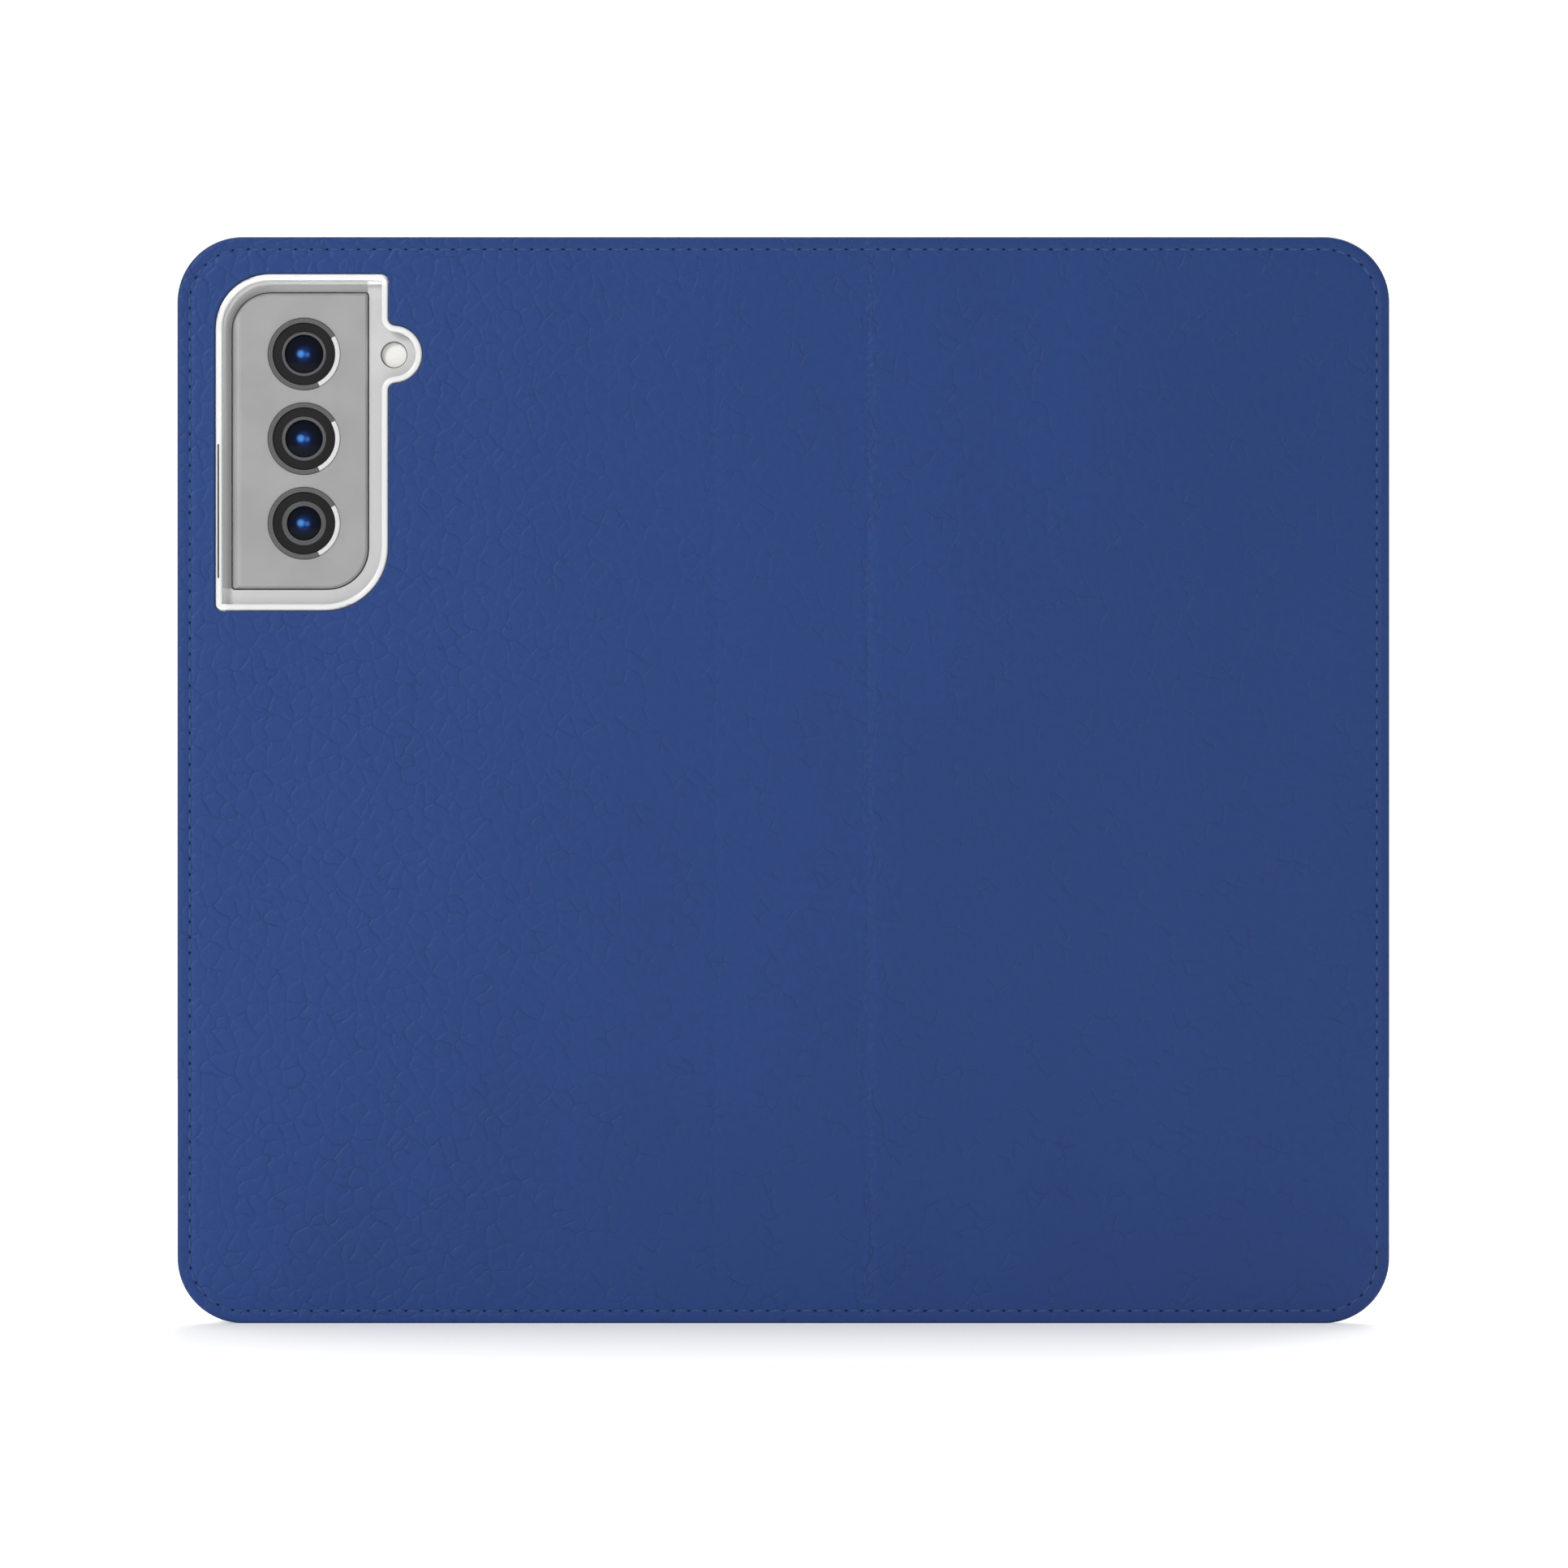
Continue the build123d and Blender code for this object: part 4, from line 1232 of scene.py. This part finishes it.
grey_metal = hard_material(
    "blasted_grey_metal", grey(0.288, 0.001), grey(0.316, 0.001), 0.42, metallic=0.2, grain=0.12
)
window_glass = {"grain": 0.5, "depth": 0.001, "Specular_IOR_Level": 0.2}
black_glass = hard_material(
    "black_lens_window", grey(0.010, 0.0005), grey(0.013, 0.0005), 0.3, **window_glass
)
bezel = hard_material("dark_bezel", grey(0.060, 0.002), grey(0.075, 0.003), 0.38)
polished = {"grain": 2.0, "depth": 0.0005, "smudges": 0.015, "Specular_IOR_Level": 0.18}
screen_glass = hard_material("screen_glass", grey(0.005, 0.001), grey(0.006, 0.001), 0.07, **polished)
display_black = hard_material("display_black", grey(0.003, 0.001), grey(0.006, 0.001), 0.3)
flash_white = hard_material(
    "flash_diffuser", (0.74, 0.74, 0.70), (0.84, 0.83, 0.80), 0.25, grain=0.35, depth=0.03
)
steel = hard_material("plain_steel", grey(0.38, 0.01), grey(0.50, 0.01), 0.3, metallic=0.9)
woven_mesh = hard_material("woven_mesh", grey(0.02), grey(0.05), 0.5, metallic=0.5, depth=0.03)
foam_tape = hard_material("foam_tape", (0.62, 0.63, 0.64), (0.74, 0.75, 0.76), 0.7, depth=0.02)
finishes = (
    (grey_metal, "phone_frame phone_back_panel camera_island volume_rocker power_key"),
    (steel, "phone_core charging_port back_keeper_plates front_closure_magnets"),
    (display_black, "display_panel"),
    (screen_glass, "display_glass selfie_lens"),
    (woven_mesh, "earpiece_mesh"),
    (trim_material(), "lens_trim_rings"),
    (black_glass, "lens_windows"),
    (bezel, "lens_bezels"),
    (lens_material(), "lens_glasses"),
    (flash_white, "flash_lens"),
    (tray_material(), "phone_tray"),
    (foam_tape, "tray_adhesive_pad"),
    (board_material(), "back_stiffener_board front_stiffener_board"),
)
for material, names in finishes:
    for name in names.split():
        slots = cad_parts[name].data.materials
        for index in range(len(slots)):
            slots[index] = material
        if not slots:
            slots.append(material)

# ---- stage, light and camera
VIEW_WIDTH = 0.2397
LENS_MM = 200.0
SENSOR_MM = 36.0
FLOOR_REACH = 1.1
SEEN_WHITE = 1.05
AMBIENT = 0.38
FAR_CLIP = 50
middle_z = cover_height * MM / 2


def link(thing):
    """Puts an object in the scene."""
    bpy.context.scene.collection.objects.link(thing)
    return thing


def make_floor():
    """Plain pale floor under the case."""
    s = Shader("pale_floor")
    mottle = s.noise(s.place(), 60.0, 3.0)
    material = s.finish(
        Base_Color=s.mix(mottle, (0.90, 0.90, 0.90), (0.93, 0.93, 0.93)),
        Roughness=0.7,
        Specular_IOR_Level=0.2,
        Emission_Color=WHITE,
        Emission_Strength=0.12,
    )
    mesh = bpy.data.meshes.new("floor")
    corners = [(x * FLOOR_REACH, y * FLOOR_REACH, 0) for x, y in ((-1, -1), (1, -1), (1, 1), (-1, 1))]
    mesh.from_pydata(corners, [], [(0, 1, 2, 3)])
    mesh.materials.append(material)
    link(bpy.data.objects.new("floor", mesh))


def area_light(name, place, size, power):
    """Square soft light aimed at the middle of the case."""
    lamp = bpy.data.lights.new(name, "AREA")
    lamp.shape = "SQUARE"
    lamp.size = size
    lamp.energy = power
    holder = link(bpy.data.objects.new(name, lamp))
    holder.location = place
    aim = Vector((0, 0, middle_z)) - Vector(place)
    holder.rotation_euler = aim.to_track_quat("-Z", "Y").to_euler()


def make_world():
    """White behind the case for the camera, and a softer white for the light it gives."""
    world = bpy.data.worlds.new("studio")
    bpy.context.scene.world = world
    world.use_nodes = True
    tree = world.node_tree
    tree.nodes.clear()
    ray = tree.nodes.new("ShaderNodeLightPath")
    choose = tree.nodes.new("ShaderNodeMixShader")
    out = tree.nodes.new("ShaderNodeOutputWorld")
    tree.links.new(ray.outputs["Is Camera Ray"], choose.inputs[0])
    for socket, strength in ((1, AMBIENT), (2, SEEN_WHITE)):
        background = tree.nodes.new("ShaderNodeBackground")
        background.inputs[0].default_value = WHITE
        background.inputs[1].default_value = strength
        tree.links.new(background.outputs[0], choose.inputs[socket])
    tree.links.new(choose.outputs[0], out.inputs["Surface"])
    bpy.context.scene.view_settings.view_transform = "Standard"


def make_camera():
    """Long lens square on to the outside of the open case."""
    camera_data = bpy.data.cameras.new("camera")
    camera_data.lens = LENS_MM
    camera_data.sensor_width = SENSOR_MM
    camera_data.clip_end = FAR_CLIP
    camera = link(bpy.data.objects.new("camera", camera_data))
    camera.location = (0.0001, -VIEW_WIDTH * LENS_MM / SENSOR_MM, middle_z - 0.0006)
    camera.rotation_euler = (math.pi / 2, 0, 0)
    bpy.context.scene.camera = camera


make_floor()
area_light("key", (-1.0, -1.4, 0.9), 0.45, 21.0)
area_light("fill", (1.6, -0.9, 0.5), 0.6, 7.0)
area_light("top", (0.0, 0.5, 1.7), 1.4, 20.0)
area_light("back", (0.3, 1.6, 0.8), 1.2, 14.0)
make_world()
make_camera()
